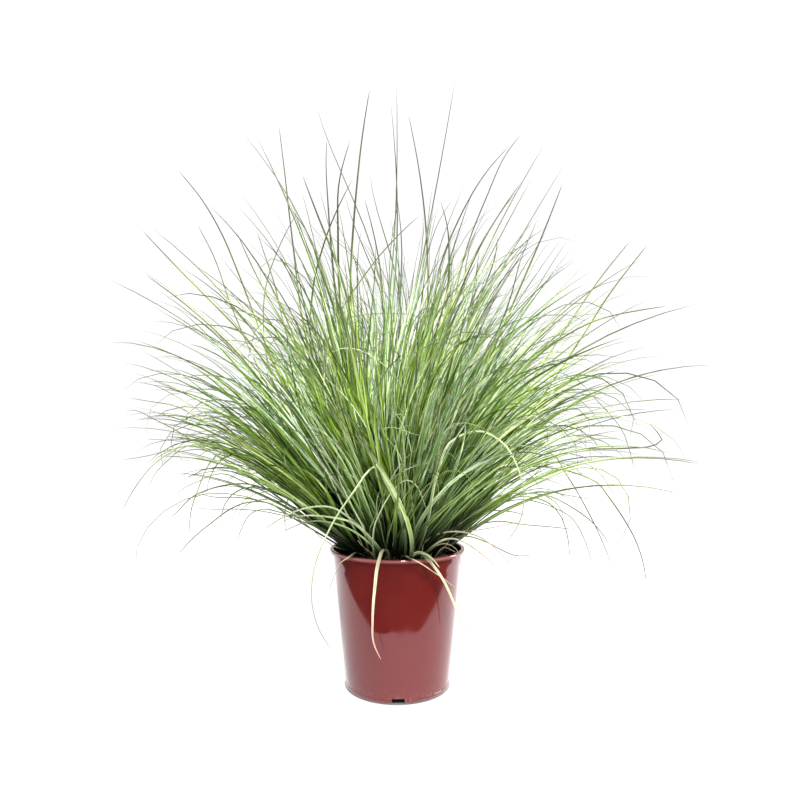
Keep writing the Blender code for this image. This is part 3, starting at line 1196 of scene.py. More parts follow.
@dataclass(frozen=True)
class TracedLeaf:
    """A leaf that stands out in the photograph.

    Its width, its root's X and Y and its tip's Y are in millimetres. Its pixels run from the root's
    end to the tip. The rest is its tone, from green to pale, how soon it comes forward and how
    bright it is.
    """

    width: float
    root: tuple[float, float]
    tip_y: float
    pixels: tuple[Pixel, ...]
    slot: Slot = Slot.MID_GREEN
    tone: float = 0.3
    forward_power: float = 1.0
    value: float = 0.6

    def line(self, view: PhotoView, soil_level: float, count: int) -> Array:
        """The leaf's centre line.

        Args:
            view: the photograph's view.
            soil_level: the height of the leaf's root.
            count: how many points the line has.

        Returns:
            The line, from root to tip.
        """
        root = np.array((self.root[0] * MM, self.root[1] * MM, soil_level))
        first = np.linalg.norm(view.point(self.pixels[0], root[1]) - root)
        steps = np.linalg.norm(np.diff(np.array(self.pixels), axis=0), axis=1) * view.pixel_size(root[1])
        shares = (first + np.concatenate(((0.0,), np.cumsum(steps)))) / (first + steps.sum())
        depths = root[1] + (self.tip_y * MM - root[1]) * shares**self.forward_power
        places = [view.point(pixel, y) for pixel, y in zip(self.pixels, depths)]
        return smooth_line(np.array([root, *places]), count)


# The long leaves that stand out against the background, and a few that curl over below them
TALL_LEAVES = (
    TracedLeaf(
        5.2, (-22, -12), -40, ((352, 321), (351, 278), (353, 235), (357, 186), (362, 140), (370, 88)),
    ),
    TracedLeaf(
        4.8, (-34, 4), 30, ((306, 335), (300, 298), (295, 257), (290, 216), (285, 172), (279, 125)),
    ),
    TracedLeaf(
        5.0, (-40, 10), -60, ((263, 335), (251, 304), (237, 268), (222, 233), (202, 199), (177, 169)),
    ),
    TracedLeaf(4.4, (-42, -8), -90, ((242, 333), (207, 297), (180, 270), (141, 229))),
    TracedLeaf(5.0, (-44, -14), -110, ((219, 333), (187, 305), (145, 274))),
    TracedLeaf(4.2, (-38, 14), 20, ((244, 335), (231, 304), (214, 256), (197, 224))),
    TracedLeaf(4.2, (-30, -2), -20, ((290, 335), (262, 286), (244, 249), (236, 230))),
    TracedLeaf(4.0, (-28, 10), 40, ((283, 319), (275, 285), (263, 249), (257, 231))),
    TracedLeaf(4.8, (-16, -20), -70, ((354, 330), (346, 293), (335, 259), (316, 211), (302, 174))),
    TracedLeaf(4.2, (-12, 16), 60, ((336, 300), (331, 245), (328, 204), (326, 161), (327, 137))),
    TracedLeaf(4.2, (-10, 22), 50, ((339, 286), (338, 235), (339, 183), (351, 138))),
    TracedLeaf(4.6, (-24, -10), -30, ((333, 304), (320, 269), (310, 238), (292, 210))),
    TracedLeaf(4.4, (-6, 8), 30, ((384, 321), (381, 274), (374, 235), (364, 197))),
    TracedLeaf(4.8, (10, -6), -20, ((427, 312), (426, 235), (421, 186), (408, 113))),
    TracedLeaf(5.2, (16, 6), 10, ((431, 338), (439, 269), (457, 222), (489, 168), (510, 145))),
    TracedLeaf(4.8, (20, -12), -40, ((452, 304), (467, 245), (486, 197), (507, 152), (522, 133))),
    TracedLeaf(4.2, (18, -4), -10, ((458, 297), (481, 245), (522, 181))),
    TracedLeaf(5.0, (30, 2), -30, ((498, 338), (524, 278), (546, 226), (563, 182))),
    TracedLeaf(4.4, (38, -2), -60, ((567, 326), (600, 278), (631, 240))),
    TracedLeaf(4.6, (40, -10), -90, ((576, 345), (612, 290), (648, 244))),
    TracedLeaf(4.4, (44, -14), -120, ((551, 345), (594, 321), (641, 310), (668, 306))),
    TracedLeaf(4.0, (24, 14), 40, ((512, 290), (519, 264), (538, 218))),
    TracedLeaf(4.0, (20, 18), 60, ((465, 331), (486, 283), (495, 257), (498, 235))),
    TracedLeaf(4.0, (14, 20), 70, ((447, 300), (449, 262), (447, 225), (440, 200))),
    TracedLeaf(
        4.0, (-20, -8), 0,
        ((346, 470), (328, 385), (327, 352), (334, 325), (341, 312), (349, 298), (358, 285),
         (378, 258), (395, 239), (420, 215)),
    ),
    TracedLeaf(
        3.6, (-24, 6), 20,
        ((340, 470), (316, 380), (310, 330), (311, 310), (314, 282), (322, 250), (329, 229),
         (337, 210), (353, 178)),
    ),
    TracedLeaf(
        3.6, (-38, 0), 10,
        ((300, 440), (268, 360), (264, 320), (266, 288), (277, 253), (292, 222), (300, 209)),
    ),
    TracedLeaf(2.4, (4, 10), 40, ((396, 420), (392, 330), (389, 280), (392, 236), (399, 199))),
    TracedLeaf(
        2.6, (12, 10), 30, ((416, 420), (420, 330), (424, 280), (429, 249), (438, 223), (452, 200)),
    ),
    TracedLeaf(2.4, (2, 6), 20, ((405, 430), (408, 340), (406, 305), (399, 270), (391, 219))),
    TracedLeaf(
        1.9, (-18, -20), -70,
        ((362, 470), (345, 380), (344, 330), (349, 318), (356, 316), (374, 314), (395, 314),
         (416, 316), (426, 325), (437, 338)),
    ),
)

# The thin leaves that arch out below the mass on either side
SIDE_LEAVES = (
    TracedLeaf(
        3.4, (-42, -20), -140,
        ((219, 456), (198, 447), (183, 446), (169, 453), (151, 467), (136, 486), (120, 515)),
    ),
    TracedLeaf(2.6, (-40, -12), -145, ((210, 449), (192, 445), (175, 448), (150, 455), (121, 460))),
    TracedLeaf(
        3.0, (-44, -10), -60, ((215, 449), (200, 444), (186, 446), (169, 459), (154, 475), (148, 489)),
    ),
    TracedLeaf(2.8, (-42, 0), -80, ((215, 446), (198, 443), (169, 440), (145, 439))),
    TracedLeaf(
        3.2, (-44, 4), 10, ((262, 480), (248, 477), (230, 471), (213, 471), (197, 474), (183, 478)),
    ),
    TracedLeaf(
        3.0, (-40, -24), -60,
        ((262, 470), (236, 453), (219, 453), (209, 464), (197, 492), (192, 506), (189, 537)),
    ),
    TracedLeaf(
        2.6, (-38, -30), -80, ((240, 480), (225, 474), (212, 475), (201, 480), (186, 487), (172, 498)),
    ),
    TracedLeaf(
        3.0, (-36, -32), -60,
        ((268, 490), (248, 484), (227, 485), (210, 489), (192, 497), (178, 511), (166, 522)),
    ),
    TracedLeaf(
        4.4, (-34, -34), -50,
        ((290, 515), (268, 502), (242, 503), (226, 511), (213, 521), (198, 533), (177, 555)),
    ),
    TracedLeaf(3.4, (-42, -22), 10, ((290, 512), (266, 502), (235, 497), (216, 497), (200, 494))),
    TracedLeaf(2.4, (-30, -38), -20, ((300, 520), (263, 511), (242, 509), (213, 509), (195, 508))),
    TracedLeaf(2.4, (-28, -40), -70, ((280, 512), (262, 509), (249, 515), (242, 527), (236, 544))),
    TracedLeaf(3.2, (-42, -4), -125, ((192, 414), (176, 406), (154, 402), (128, 398))),
    TracedLeaf(3.4, (-44, -8), -132, ((192, 440), (172, 428), (154, 419), (132, 410), (125, 412))),
    TracedLeaf(2.8, (-38, -10), -110, ((206, 414), (186, 402), (169, 392), (154, 385), (134, 382))),
    TracedLeaf(
        2.8, (30, -20), -40,
        ((560, 372), (582, 383), (596, 399), (611, 415), (623, 431), (629, 448), (636, 475)),
    ),
    TracedLeaf(2.4, (34, -10), -10, ((560, 398), (572, 397), (586, 405), (596, 417), (605, 431))),
    TracedLeaf(
        3.2, (40, -14), -125,
        ((540, 462), (558, 455), (573, 450), (602, 449), (631, 448), (652, 446), (662, 441),
         (658, 433), (648, 423)),
        tone=0.92,
    ),
    TracedLeaf(3.2, (36, -24), -20, ((530, 478), (555, 455), (573, 445), (595, 439), (620, 439))),
    TracedLeaf(
        3.2, (34, -30), -30,
        ((510, 478), (535, 459), (551, 453), (556, 456), (564, 470), (576, 489), (587, 509),
         (598, 531), (613, 568)),
    ),
    TracedLeaf(
        3.6, (38, -26), -90,
        ((470, 500), (499, 470), (529, 466), (561, 469), (582, 475), (598, 483), (609, 497),
         (624, 519), (636, 541), (643, 562), (647, 588)),
        tone=0.95,
    ),
    TracedLeaf(2.2, (40, -20), -20, ((560, 462), (580, 462), (598, 471), (609, 486), (620, 503))),
    TracedLeaf(
        3.4, (40, -30), -50,
        ((470, 515), (499, 496), (529, 493), (552, 497), (573, 508), (592, 522), (611, 547)),
        tone=0.92,
    ),
    TracedLeaf(
        3.0, (38, -32), -60, ((500, 500), (533, 497), (552, 505), (561, 516), (567, 533), (570, 559)),
    ),
    TracedLeaf(2.2, (42, -20), -20, ((530, 500), (548, 505), (573, 519), (584, 538), (593, 569))),
    TracedLeaf(3.2, (44, -10), 30, ((525, 493), (551, 492), (573, 496), (592, 499))),
    TracedLeaf(
        2.6, (34, -38), -40, ((452, 534), (470, 527), (499, 521), (520, 524), (552, 527), (579, 530)),
        tone=0.8,
    ),
    TracedLeaf(
        2.6, (30, -42), -80, ((446, 540), (466, 536), (489, 543), (502, 550), (514, 555), (532, 555)),
        tone=0.92,
    ),
    TracedLeaf(
        2.4, (36, -36), -60, ((450, 540), (470, 522), (485, 512), (505, 511), (529, 516)),
        tone=0.95,
    ),
    TracedLeaf(
        3.6, (38, -28), -60, ((440, 524), (470, 483), (499, 468), (521, 466), (558, 467)),
        tone=0.95,
    ),
)

# The leaves that arch forward and to the sides over the lip
FRONT_LEAVES = (
    TracedLeaf(
        4.0, (6, -46), -210,
        ((404, 530), (395, 500), (384, 478), (376, 465), (371, 468), (355, 489), (330, 527),
         (312, 577), (311, 599), (317, 626), (332, 651)),
        Slot.STRAW, 0.55, 0.4, 0.7,
    ),
    TracedLeaf(
        3.5, (18, -42), -222,
        ((428, 520), (437, 475), (451, 442), (480, 431), (506, 446), (518, 468), (524, 491),
         (518, 526), (504, 545)),
        Slot.STRAW, 0.45, 0.46, 0.55,
    ),
    TracedLeaf(
        6.0, (22, -44), -190, ((419, 524), (436, 499), (456, 479), (490, 460), (520, 452), (548, 456)),
        Slot.BLUE_GREEN, 0.8, 0.6, 0.8,
    ),
    TracedLeaf(
        4.0, (-18, -48), -150, ((375, 546), (351, 519), (330, 507), (310, 507), (285, 516), (262, 531)),
        Slot.STRAW, 0.6, 0.6, 0.8,
    ),
    TracedLeaf(
        4.2, (-14, -48), -150, ((380, 550), (371, 539), (351, 522), (329, 517), (300, 516), (280, 522)),
        Slot.STRAW, 0.5, 0.6, 0.8,
    ),
    TracedLeaf(
        3.6, (-22, -48), -150, ((373, 547), (360, 535), (334, 523), (311, 521), (282, 532)),
        Slot.BLUE_GREEN, 0.8, 0.6, 0.8,
    ),
    TracedLeaf(
        2.2, (-44, -28), -60, ((352, 553), (335, 546), (321, 537), (310, 527), (288, 512)),
        Slot.STRAW, 0.9,
    ),
    TracedLeaf(
        6.4, (8, -52), -235,
        ((412, 551), (410, 531), (403, 510), (393, 489), (380, 467), (369, 451), (352, 432)),
        Slot.YELLOW_GREEN, 0.8, 0.6, 0.9,
    ),
    TracedLeaf(
        2.8, (-21, -50), -200,
        ((373, 541), (375, 524), (382, 508), (393, 490), (401, 482), (408, 480), (415, 484),
         (422, 497), (427, 512)),
        Slot.STRAW, 0.3, 0.55, 0.7,
    ),
    TracedLeaf(
        2.0, (10, -44), -215, ((406, 520), (398, 455), (393, 412), (396, 405), (404, 414), (417, 431)),
        Slot.MID_GREEN, 0.5, 0.6, 0.7,
    ),
    TracedLeaf(
        2.0, (14, -46), -225,
        ((414, 520), (398, 452), (384, 428), (390, 427), (411, 433), (430, 438), (449, 441)),
        Slot.MID_GREEN, 0.3, 0.5, 0.6,
    ),
    TracedLeaf(
        2.0, (4, -46), -215, ((404, 520), (403, 440), (399, 413), (394, 416), (388, 427), (381, 443)),
        Slot.MID_GREEN, 0.4, 0.5, 0.7,
    ),
    TracedLeaf(
        2.0, (-30, -40), -190, ((350, 520), (330, 478), (317, 448), (319, 442), (324, 455), (326, 467)),
        Slot.STRAW, 0.9, 0.6, 0.7,
    ),
    TracedLeaf(
        2.0, (-20, -48), -200,
        ((362, 525), (346, 494), (339, 478), (338, 455), (338, 440), (344, 438), (346, 447)),
        Slot.STRAW, 0.6, 0.6, 0.8,
    ),
    TracedLeaf(
        1.8, (-26, -30), -185,
        ((350, 500), (330, 420), (325, 370), (332, 352), (349, 348), (362, 351), (379, 361),
         (398, 380), (416, 409)),
        Slot.STRAW, 0.5, 0.7, 0.7,
    ),
)

# Old pale leaves that droop over the lip, and short curled sprouts among the shoots
PALE_LEAVES = (
    TracedLeaf(
        4.6, (26, -46), -104,
        ((425, 553), (434, 545), (444, 539), (453, 538), (463, 541), (476, 549), (500, 570)),
        Slot.STRAW, 0.7, 0.8,
    ),
    TracedLeaf(
        3.4, (16, -46), -110, ((418, 549), (434, 535), (451, 531), (480, 537), (503, 556), (520, 577)),
        Slot.STRAW, 0.9, 0.8,
    ),
    TracedLeaf(
        2.0, (34, -38), -90, ((440, 552), (458, 532), (476, 530), (500, 526), (525, 520)),
        Slot.STRAW, 1.0,
    ),
    TracedLeaf(
        6.4, (16, -54), -99, ((414, 554.5), (420, 552.5), (427, 555), (433, 559.5), (439.5, 567.7)),
        Slot.STRAW, 0.1, 0.6, 0.35,
    ),
    TracedLeaf(
        3.4, (-26, -50), -62, ((374.6, 556.9), (368, 550), (363.8, 546.7), (357.7, 540)),
        Slot.STRAW, 1.0,
    ),
    TracedLeaf(2.2, (-8, -54), -66, ((393, 546), (393.5, 537), (391.6, 527)), Slot.STRAW, 1.0),
    TracedLeaf(1.8, (-4, -55), -68, ((396, 547), (397, 538), (395, 530), (391, 526)), Slot.STRAW, 0.9),
    TracedLeaf(1.6, (0, -56), -64, ((399, 556), (400, 551), (399, 545), (396, 541)), Slot.STRAW, 1.0),
    TracedLeaf(2.0, (28, -50), -66, ((422, 553), (423, 547), (425, 541), (429, 538)), Slot.STRAW, 1.0),
    TracedLeaf(2.6, (44, -40), -58, ((440, 550), (444, 547), (450, 549), (456, 552)), Slot.STRAW, 0.9),
)


@dataclass(frozen=True)
class TracedLeaves:
    """Leaves whose course is read from the photograph, one piece for each finish."""

    name: str
    leaves: tuple[TracedLeaf, ...]
    view: PhotoView
    soil_level: float = 156.3 * MM
    widening: float = 1.0
    form: BladeForm = BladeForm(stations=40, root_share=0.6, full_at=0.14, tip_power=0.47)
    roll: float = 0.3
    twist: float = 0.7
    seed: int = 5

    def build(self, materials: dict[Slot, Material]) -> None:
        """Make the leaves.

        Args:
            materials: the finish for each slot.
        """
        draw = np.random.default_rng(self.seed)
        for slot in Slot:
            leaves = [leaf for leaf in self.leaves if leaf.slot == slot]
            if not leaves:
                continue
            count = len(leaves)
            blades = Blades(
                np.stack([leaf.line(self.view, self.soil_level, self.form.stations) for leaf in leaves]),
                np.array([leaf.width for leaf in leaves]) * MM * self.widening,
                draw.normal(0, self.roll, count),
                draw.normal(0, self.twist, count),
                np.array([leaf.tone for leaf in leaves]),
                np.array([leaf.value for leaf in leaves]),
                np.zeros(count),
            )
            blades.build(f"{self.name}_{slot.name.lower()}", self.form, materials[slot], slot)
        LOG.info("%s: %d", self.name, len(self.leaves))


@dataclass(frozen=True)
class StrayLeaves:
    """Thin pale leaves that cross the others at odd angles."""

    fountain: Fountain
    count: int = 340
    slots: tuple[Slot, ...] = (Slot.BLUE_GREEN, Slot.YELLOW_GREEN)
    shares: Pair = (0.1, 1.0)
    heading_scatter: float = 0.9
    length_draw: Point = (0.35, 0.6, 0.95)
    curl: float = 1.0
    nod_draw: Pair = (2.0, 0.4)
    wave: float = 0.2
    widths: Pair = (1.1 * MM, 3.0 * MM)
    roll: float = 0.8
    twist: float = 2.0
    tones: Pair = (0.6, 1.0)
    values: Pair = (0.6, 1.1)
    form: BladeForm = BladeForm(stations=32, root_share=0.6, full_at=0.2, tip_power=0.8)
    seed: int = 77

    def build(self, materials: dict[Slot, Material]) -> None:
        """Make them, as many in each of the finishes.

        Args:
            materials: the finish for each slot.
        """
        draw = np.random.default_rng(self.seed)
        for slot in self.slots:
            n = self.count // len(self.slots)
            around, away = draw.uniform(0, math.tau, n), np.sqrt(draw.uniform(0, 1, n))
            roots = self.fountain.clump_radius * polar(around, away)
            shares = draw.uniform(*self.shares, n)
            shapes = (
                around + draw.normal(0, self.heading_scatter, n),
                shares,
                draw.triangular(*self.length_draw, n),
                draw.normal(0, self.curl, n),
                draw.gamma(*self.nod_draw, n),
                draw.normal(0, self.wave, n),
            )
            blades = Blades(
                self.fountain.lines(roots, *shapes, self.form.stations),
                draw.uniform(*self.widths, n),
                draw.normal(0, self.roll, n),
                draw.normal(0, self.twist, n),
                draw.uniform(*self.tones, n),
                draw.uniform(*self.values, n),
                np.zeros(n),
            )
            blades.build(f"stray_leaves_{slot.name.lower()}", self.form, materials[slot], slot)
        LOG.info("%d stray leaves", self.count)


@dataclass(frozen=True)
class DriedBits:
    """Short curled bits of dried leaf and old sheath, low among the shoots."""

    count: int = 260
    radius: float = 60 * MM
    soil_level: float = 157 * MM
    centre_share: float = 0.02
    heading_scatter: float = 1.1
    lengths: Pair = (12 * MM, 62 * MM)
    length_loss_at_edge: float = 0.55
    tilts: Pair = (0.1, 1.1)
    bend_draw: Pair = (0.5, 0.6)
    greatest_tilt: float = 1.75
    curl: float = 1.3
    widths: Pair = (0.6 * MM, 2.6 * MM)
    roll: float = 0.8
    twist: float = 1.5
    tones: Pair = (0.1, 1)
    values: Pair = (0, 0.7)
    form: BladeForm = BladeForm(stations=14, root_share=0.8, full_at=0.2, tip_power=0.6, fold=0.15)
    seed: int = 23

    def build(self, material: Material) -> None:
        """Make all the bits as one piece.

        Args:
            material: their finish.
        """
        draw, n, stations = np.random.default_rng(self.seed), self.count, self.form.stations
        around = draw.uniform(0, math.tau, n)
        away = self.radius * np.sqrt(draw.uniform(self.centre_share, 1, n))
        roots = polar(around, away)
        headings = around + draw.normal(0, self.heading_scatter, n)
        lengths = draw.uniform(*self.lengths, n) * (1 - self.length_loss_at_edge * away / self.radius)
        t = np.linspace(0, 1, stations)
        tilt = draw.uniform(*self.tilts, n)[:, None] + draw.normal(*self.bend_draw, n)[:, None] * t
        turn = headings[:, None] + draw.normal(0, self.curl, n)[:, None] * t
        step = (lengths / (stations - 1))[:, None] * (t > 0)
        _, lines = grown(roots, self.soil_level, step, np.minimum(tilt, self.greatest_tilt), turn)
        blades = Blades(
            lines,
            draw.uniform(*self.widths, n),
            draw.normal(0, self.roll, n),
            draw.normal(0, self.twist, n),
            draw.uniform(*self.tones, n),
            draw.uniform(*self.values, n),
            draw.uniform(0, 1, n),
        )
        blades.build("dried_leaf_bits", self.form, material, Slot.STRAW)
        LOG.info("%d bits of dried leaf", n)


# ---------------------------------------------------------------- pot and soil


def turned(name: str, profile: list[Pair], steps: int, material: Material) -> bpy.types.Object:
    """A solid turned about Z.

    Args:
        name: the object's name.
        profile: radius and height of each corner, from the axis to the axis.
        steps: how many steps a turn has.
        material: the finish.

    Returns:
        The object, with its modifier applied.
    """
    points = [(radius, 0, height) for radius, height in profile]
    obj = add_object(name, points, [], material, [(i, i + 1) for i in range(len(points) - 1)])
    screw = obj.modifiers.new("turn", "SCREW")
    screw.steps = screw.render_steps = steps
    screw.use_merge_vertices = True
    screw.merge_threshold = MERGE_DISTANCE
    screw.use_smooth_shade = True
    apply_modifiers(obj)
    return obj


def apply_modifiers(obj: bpy.types.Object) -> None:
    """Make an object's evaluated mesh its own mesh.

    Args:
        obj: the object, which is left without modifiers.
    """
    depsgraph = bpy.context.evaluated_depsgraph_get()
    mesh = bpy.data.meshes.new_from_object(obj.evaluated_get(depsgraph))
    obj.modifiers.clear()
    obj.data = mesh


def turn_about_axis(verts: list, angle: float) -> None:
    """Turn some vertices about Z.

    Args:
        verts: the vertices.
        angle: how far, in radians.
    """
    cos, sin = math.cos(angle), math.sin(angle)
    for vertex in verts:
        x, y = vertex.co.x, vertex.co.y
        vertex.co.x, vertex.co.y = x * cos - y * sin, x * sin + y * cos


def arc(radius: float, height: float, size: float, start: float, end: float, points: int = 5) -> list:
    """A quarter round in a profile.

    Args:
        radius: its centre's distance from the axis.
        height: its centre's height.
        size: its own radius.
        start: the angle at which it starts, in degrees.
        end: the angle at which it ends, in degrees.
        points: how many steps it has.

    Returns:
        Radius and height of each point.
    """
    angles = (math.radians(start + (end - start) * i / points) for i in range(points + 1))
    return [(radius + size * math.cos(a), height + size * math.sin(a)) for a in angles]


@dataclass(frozen=True)
class Pot:
    """The thin moulded pot."""

    height: float = 170 * MM
    lip_radius: float = 86.6 * MM
    lip_drop: float = 4.2 * MM
    lip_rounding: float = 1.2 * MM
    inner_rounding: float = 0.7 * MM
    skirt_rounding: float = 0.5 * MM
    wall_top_radius: float = 83.6 * MM
    base_radius: float = 65.2 * MM
    wall: float = 1.5 * MM
    foot_rounding: float = 3.0 * MM
    foot_flat: float = 3.2 * MM
    foot_band: float = 5.0 * MM
    foot_band_step: float = 0.35 * MM
    upper_wall: float = 0.9
    floor_lift: float = 4.0 * MM
    turn: float = math.radians(1.5)
    notches: int = 4
    notch_width: float = 15.5 * MM
    notch_height: float = 6.5 * MM
    notch_depth: float = 22 * MM
    holes: int = 6
    hole_radius: float = 5 * MM
    hole_ring: float = 36 * MM
    hole_steps: int = 32
    margin: float = 2 * MM
    steps: int = 180
    inner_steps: int = 9
    outer_steps: int = 30
    waviness: float = 0.22 * MM
    wave_scale: Point = (22, 22, 9)
    wave_start: float = 20 * MM
    sharp_angle: float = math.radians(35)

    def wall_radius(self, height: float) -> float:
        """Outer radius of the tapered wall at a height."""
        return self.base_radius + (self.wall_top_radius - self.base_radius) * height / self.height

    def outer_wall(self, top: float) -> list[Pair]:
        """The wall's outer side: it steps in below its upper part, as far as the foot band stands out.

        Args:
            top: the height that it starts at.

        Returns:
            Radius and height of each point, from the top down.
        """
        heights = np.linspace(top, self.foot_band + self.foot_band_step, self.outer_steps)[1:]
        steps_in = (heights < self.height * self.upper_wall) * self.foot_band_step
        return [(self.wall_radius(z) - step, z) for z, step in zip(heights, steps_in)]

    def profile(self) -> list[Pair]:
        """Half section of the pot: floor, wall, turned-down lip, foot band, rounded foot and underside.

        Returns:
            Radius and height of each point, from the floor's middle round to its underside.
        """
        floor_top = self.floor_lift + self.wall
        ledge_under = self.height - self.wall
        inner = self.wall_radius(self.height) - self.wall + self.inner_rounding
        inner_top = self.height - self.inner_rounding
        lip_edge = self.lip_radius - self.lip_rounding
        skirt = self.height - self.lip_drop
        skirt_edge = self.lip_radius - self.skirt_rounding
        foot_centre = self.wall_radius(self.foot_rounding) - self.foot_rounding
        foot_inside = foot_centre - self.foot_flat
        inner_heights = np.linspace(floor_top, inner_top, self.inner_steps)
        return [
            (0, floor_top),
            *((self.wall_radius(z) - self.wall, z) for z in inner_heights),
            *arc(inner, inner_top, self.inner_rounding, 180, 90, 4),
            *arc(lip_edge, self.height - self.lip_rounding, self.lip_rounding, 90, 0),
            *arc(skirt_edge, skirt + self.skirt_rounding, self.skirt_rounding, 0, -90, 3),
            (self.lip_radius - self.wall, skirt),
            (self.lip_radius - self.wall, ledge_under),
            (self.wall_radius(ledge_under), ledge_under),
            *self.outer_wall(ledge_under),
            (self.wall_radius(self.foot_band), self.foot_band),
            *arc(foot_centre, self.foot_rounding, self.foot_rounding, 0, -90),
            (foot_inside, 0),
            (foot_inside, self.floor_lift),
            (0, self.floor_lift),
        ]

    def cutters(self) -> bpy.types.Object:
        """The notches of the foot and the holes of the floor, as one object that cuts.

        Returns:
            The object, which goes when the pot is cut.
        """
        bm = bmesh.new()
        notch_height = self.notch_height + self.margin
        reach = self.base_radius + self.margin - self.notch_depth / 2
        for index in range(self.notches):
            made = bmesh.ops.create_cube(bm, size=1)["verts"]
            bmesh.ops.scale(bm, vec=(self.notch_depth, self.notch_width, notch_height), verts=made)
            bmesh.ops.translate(bm, vec=(reach, 0, self.notch_height - notch_height / 2), verts=made)
            turn_about_axis(made, self.turn + math.tau * index / self.notches)
        depth, radius = self.wall + 2 * self.margin, self.hole_radius
        for index in range(self.holes):
            round_form = {"segments": self.hole_steps, "radius1": radius, "radius2": radius, "depth": depth}
            made = bmesh.ops.create_cone(bm, cap_ends=True, **round_form)["verts"]
            bmesh.ops.translate(bm, vec=(self.hole_ring, 0, self.floor_lift + self.wall / 2), verts=made)
            turn_about_axis(made, self.turn + math.tau * (index + 0.5) / self.holes)
        mesh = bpy.data.meshes.new("pot_cutters")
        bm.to_mesh(mesh)
        bm.free()
        cutters = bpy.data.objects.new("pot_cutters", mesh)
        bpy.context.scene.collection.objects.link(cutters)
        return cutters

    def build(self, material: Material) -> None:
        """Turn the pot, cut it and give its wall the slight waves of thin plastic.

        Args:
            material: the pot's finish.
        """
        pot = turned("nursery_pot", self.profile(), self.steps, material)
        cutters = self.cutters()
        cut = pot.modifiers.new("cut", "BOOLEAN")
        cut.operation, cut.solver, cut.object = "DIFFERENCE", "EXACT", cutters
        apply_modifiers(pot)
        bpy.data.objects.remove(cutters)
        for vertex in pot.data.vertices:
            radius = math.hypot(vertex.co.x, vertex.co.y)
            if radius < self.base_radius - self.foot_rounding - self.wall:
                continue
            wave = noise.noise(vertex.co * Vector(self.wave_scale))
            hold = min(vertex.co.z / self.wave_start, 1)
            scale = 1 + self.waviness * wave * hold / radius
            vertex.co.x *= scale
            vertex.co.y *= scale
        pot.data.shade_smooth()
        pot.data.set_sharp_from_angle(angle=self.sharp_angle)
        stand_for(pot, Slot.POT, "pot")
        LOG.info("the pot, %d faces", len(pot.data.polygons))


@dataclass(frozen=True)
class Grains:
    """Loose bits of one kind that lie on the soil."""

    name: str
    material: str
    count: int
    half_widths: Pair
    stretch: float
    flatness: Pair = (0.4, 0.8)
    lift: float = 0.4
    wall_gap: float = 4 * MM
    centre_share: float = 0.04
    unevenness: Pair = (0.7, 1.25)

    def scatter(self, draw: Draw, soil: "Soil") -> list:
        """Places for the bits on the soil.

        Args:
            draw: the random source.
            soil: the soil that they lie on.

        Returns:
            The centre, the three half sizes and the heading of each bit.
        """
        bits, reach = [], soil.edge(soil.edge_height()) - self.wall_gap
        for _ in range(self.count):
            radius = reach * math.sqrt(draw.uniform(self.centre_share, 1))
            angle = draw.uniform(0, math.tau)
            size = draw.uniform(*self.half_widths)
            height = soil.surface_height(radius) + self.lift * size
            centre = (radius * math.cos(angle), radius * math.sin(angle), height)
            halves = (size * draw.uniform(1, self.stretch), size, size * draw.uniform(*self.flatness))
            bits.append((centre, halves, draw.uniform(0, math.tau)))
        return bits

    def build(self, draw: Draw, soil: "Soil", material: Material) -> None:
        """Make one mesh of all the bits, each a small uneven lump.

        Args:
            draw: the random source.
            soil: the soil that they lie on.
            material: their finish.
        """
        pattern = bmesh.new()
        bmesh.ops.create_icosphere(pattern, subdivisions=1, radius=1)
        corners = np.array([v.co for v in pattern.verts])
        faces = np.array([[v.index for v in f.verts] for f in pattern.faces])
        pattern.free()
        points, sides = [], []
        for number, (centre, halves, heading) in enumerate(self.scatter(draw, soil)):
            uneven = corners * draw.uniform(*self.unevenness, (len(corners), 1)) * halves
            cos, sin = math.cos(heading), math.sin(heading)
            turned_x = uneven[:, 0] * cos - uneven[:, 1] * sin
            turned_y = uneven[:, 0] * sin + uneven[:, 1] * cos
            points.append(np.stack((turned_x, turned_y, uneven[:, 2]), axis=1) + centre)
            sides.append(faces + number * len(corners))
        points, sides = (np.concatenate(parts).tolist() for parts in (points, sides))
        stand_for(add_object(self.name, points, sides, material), Slot.SOIL)
        LOG.info("%s: %d", self.name, self.count)


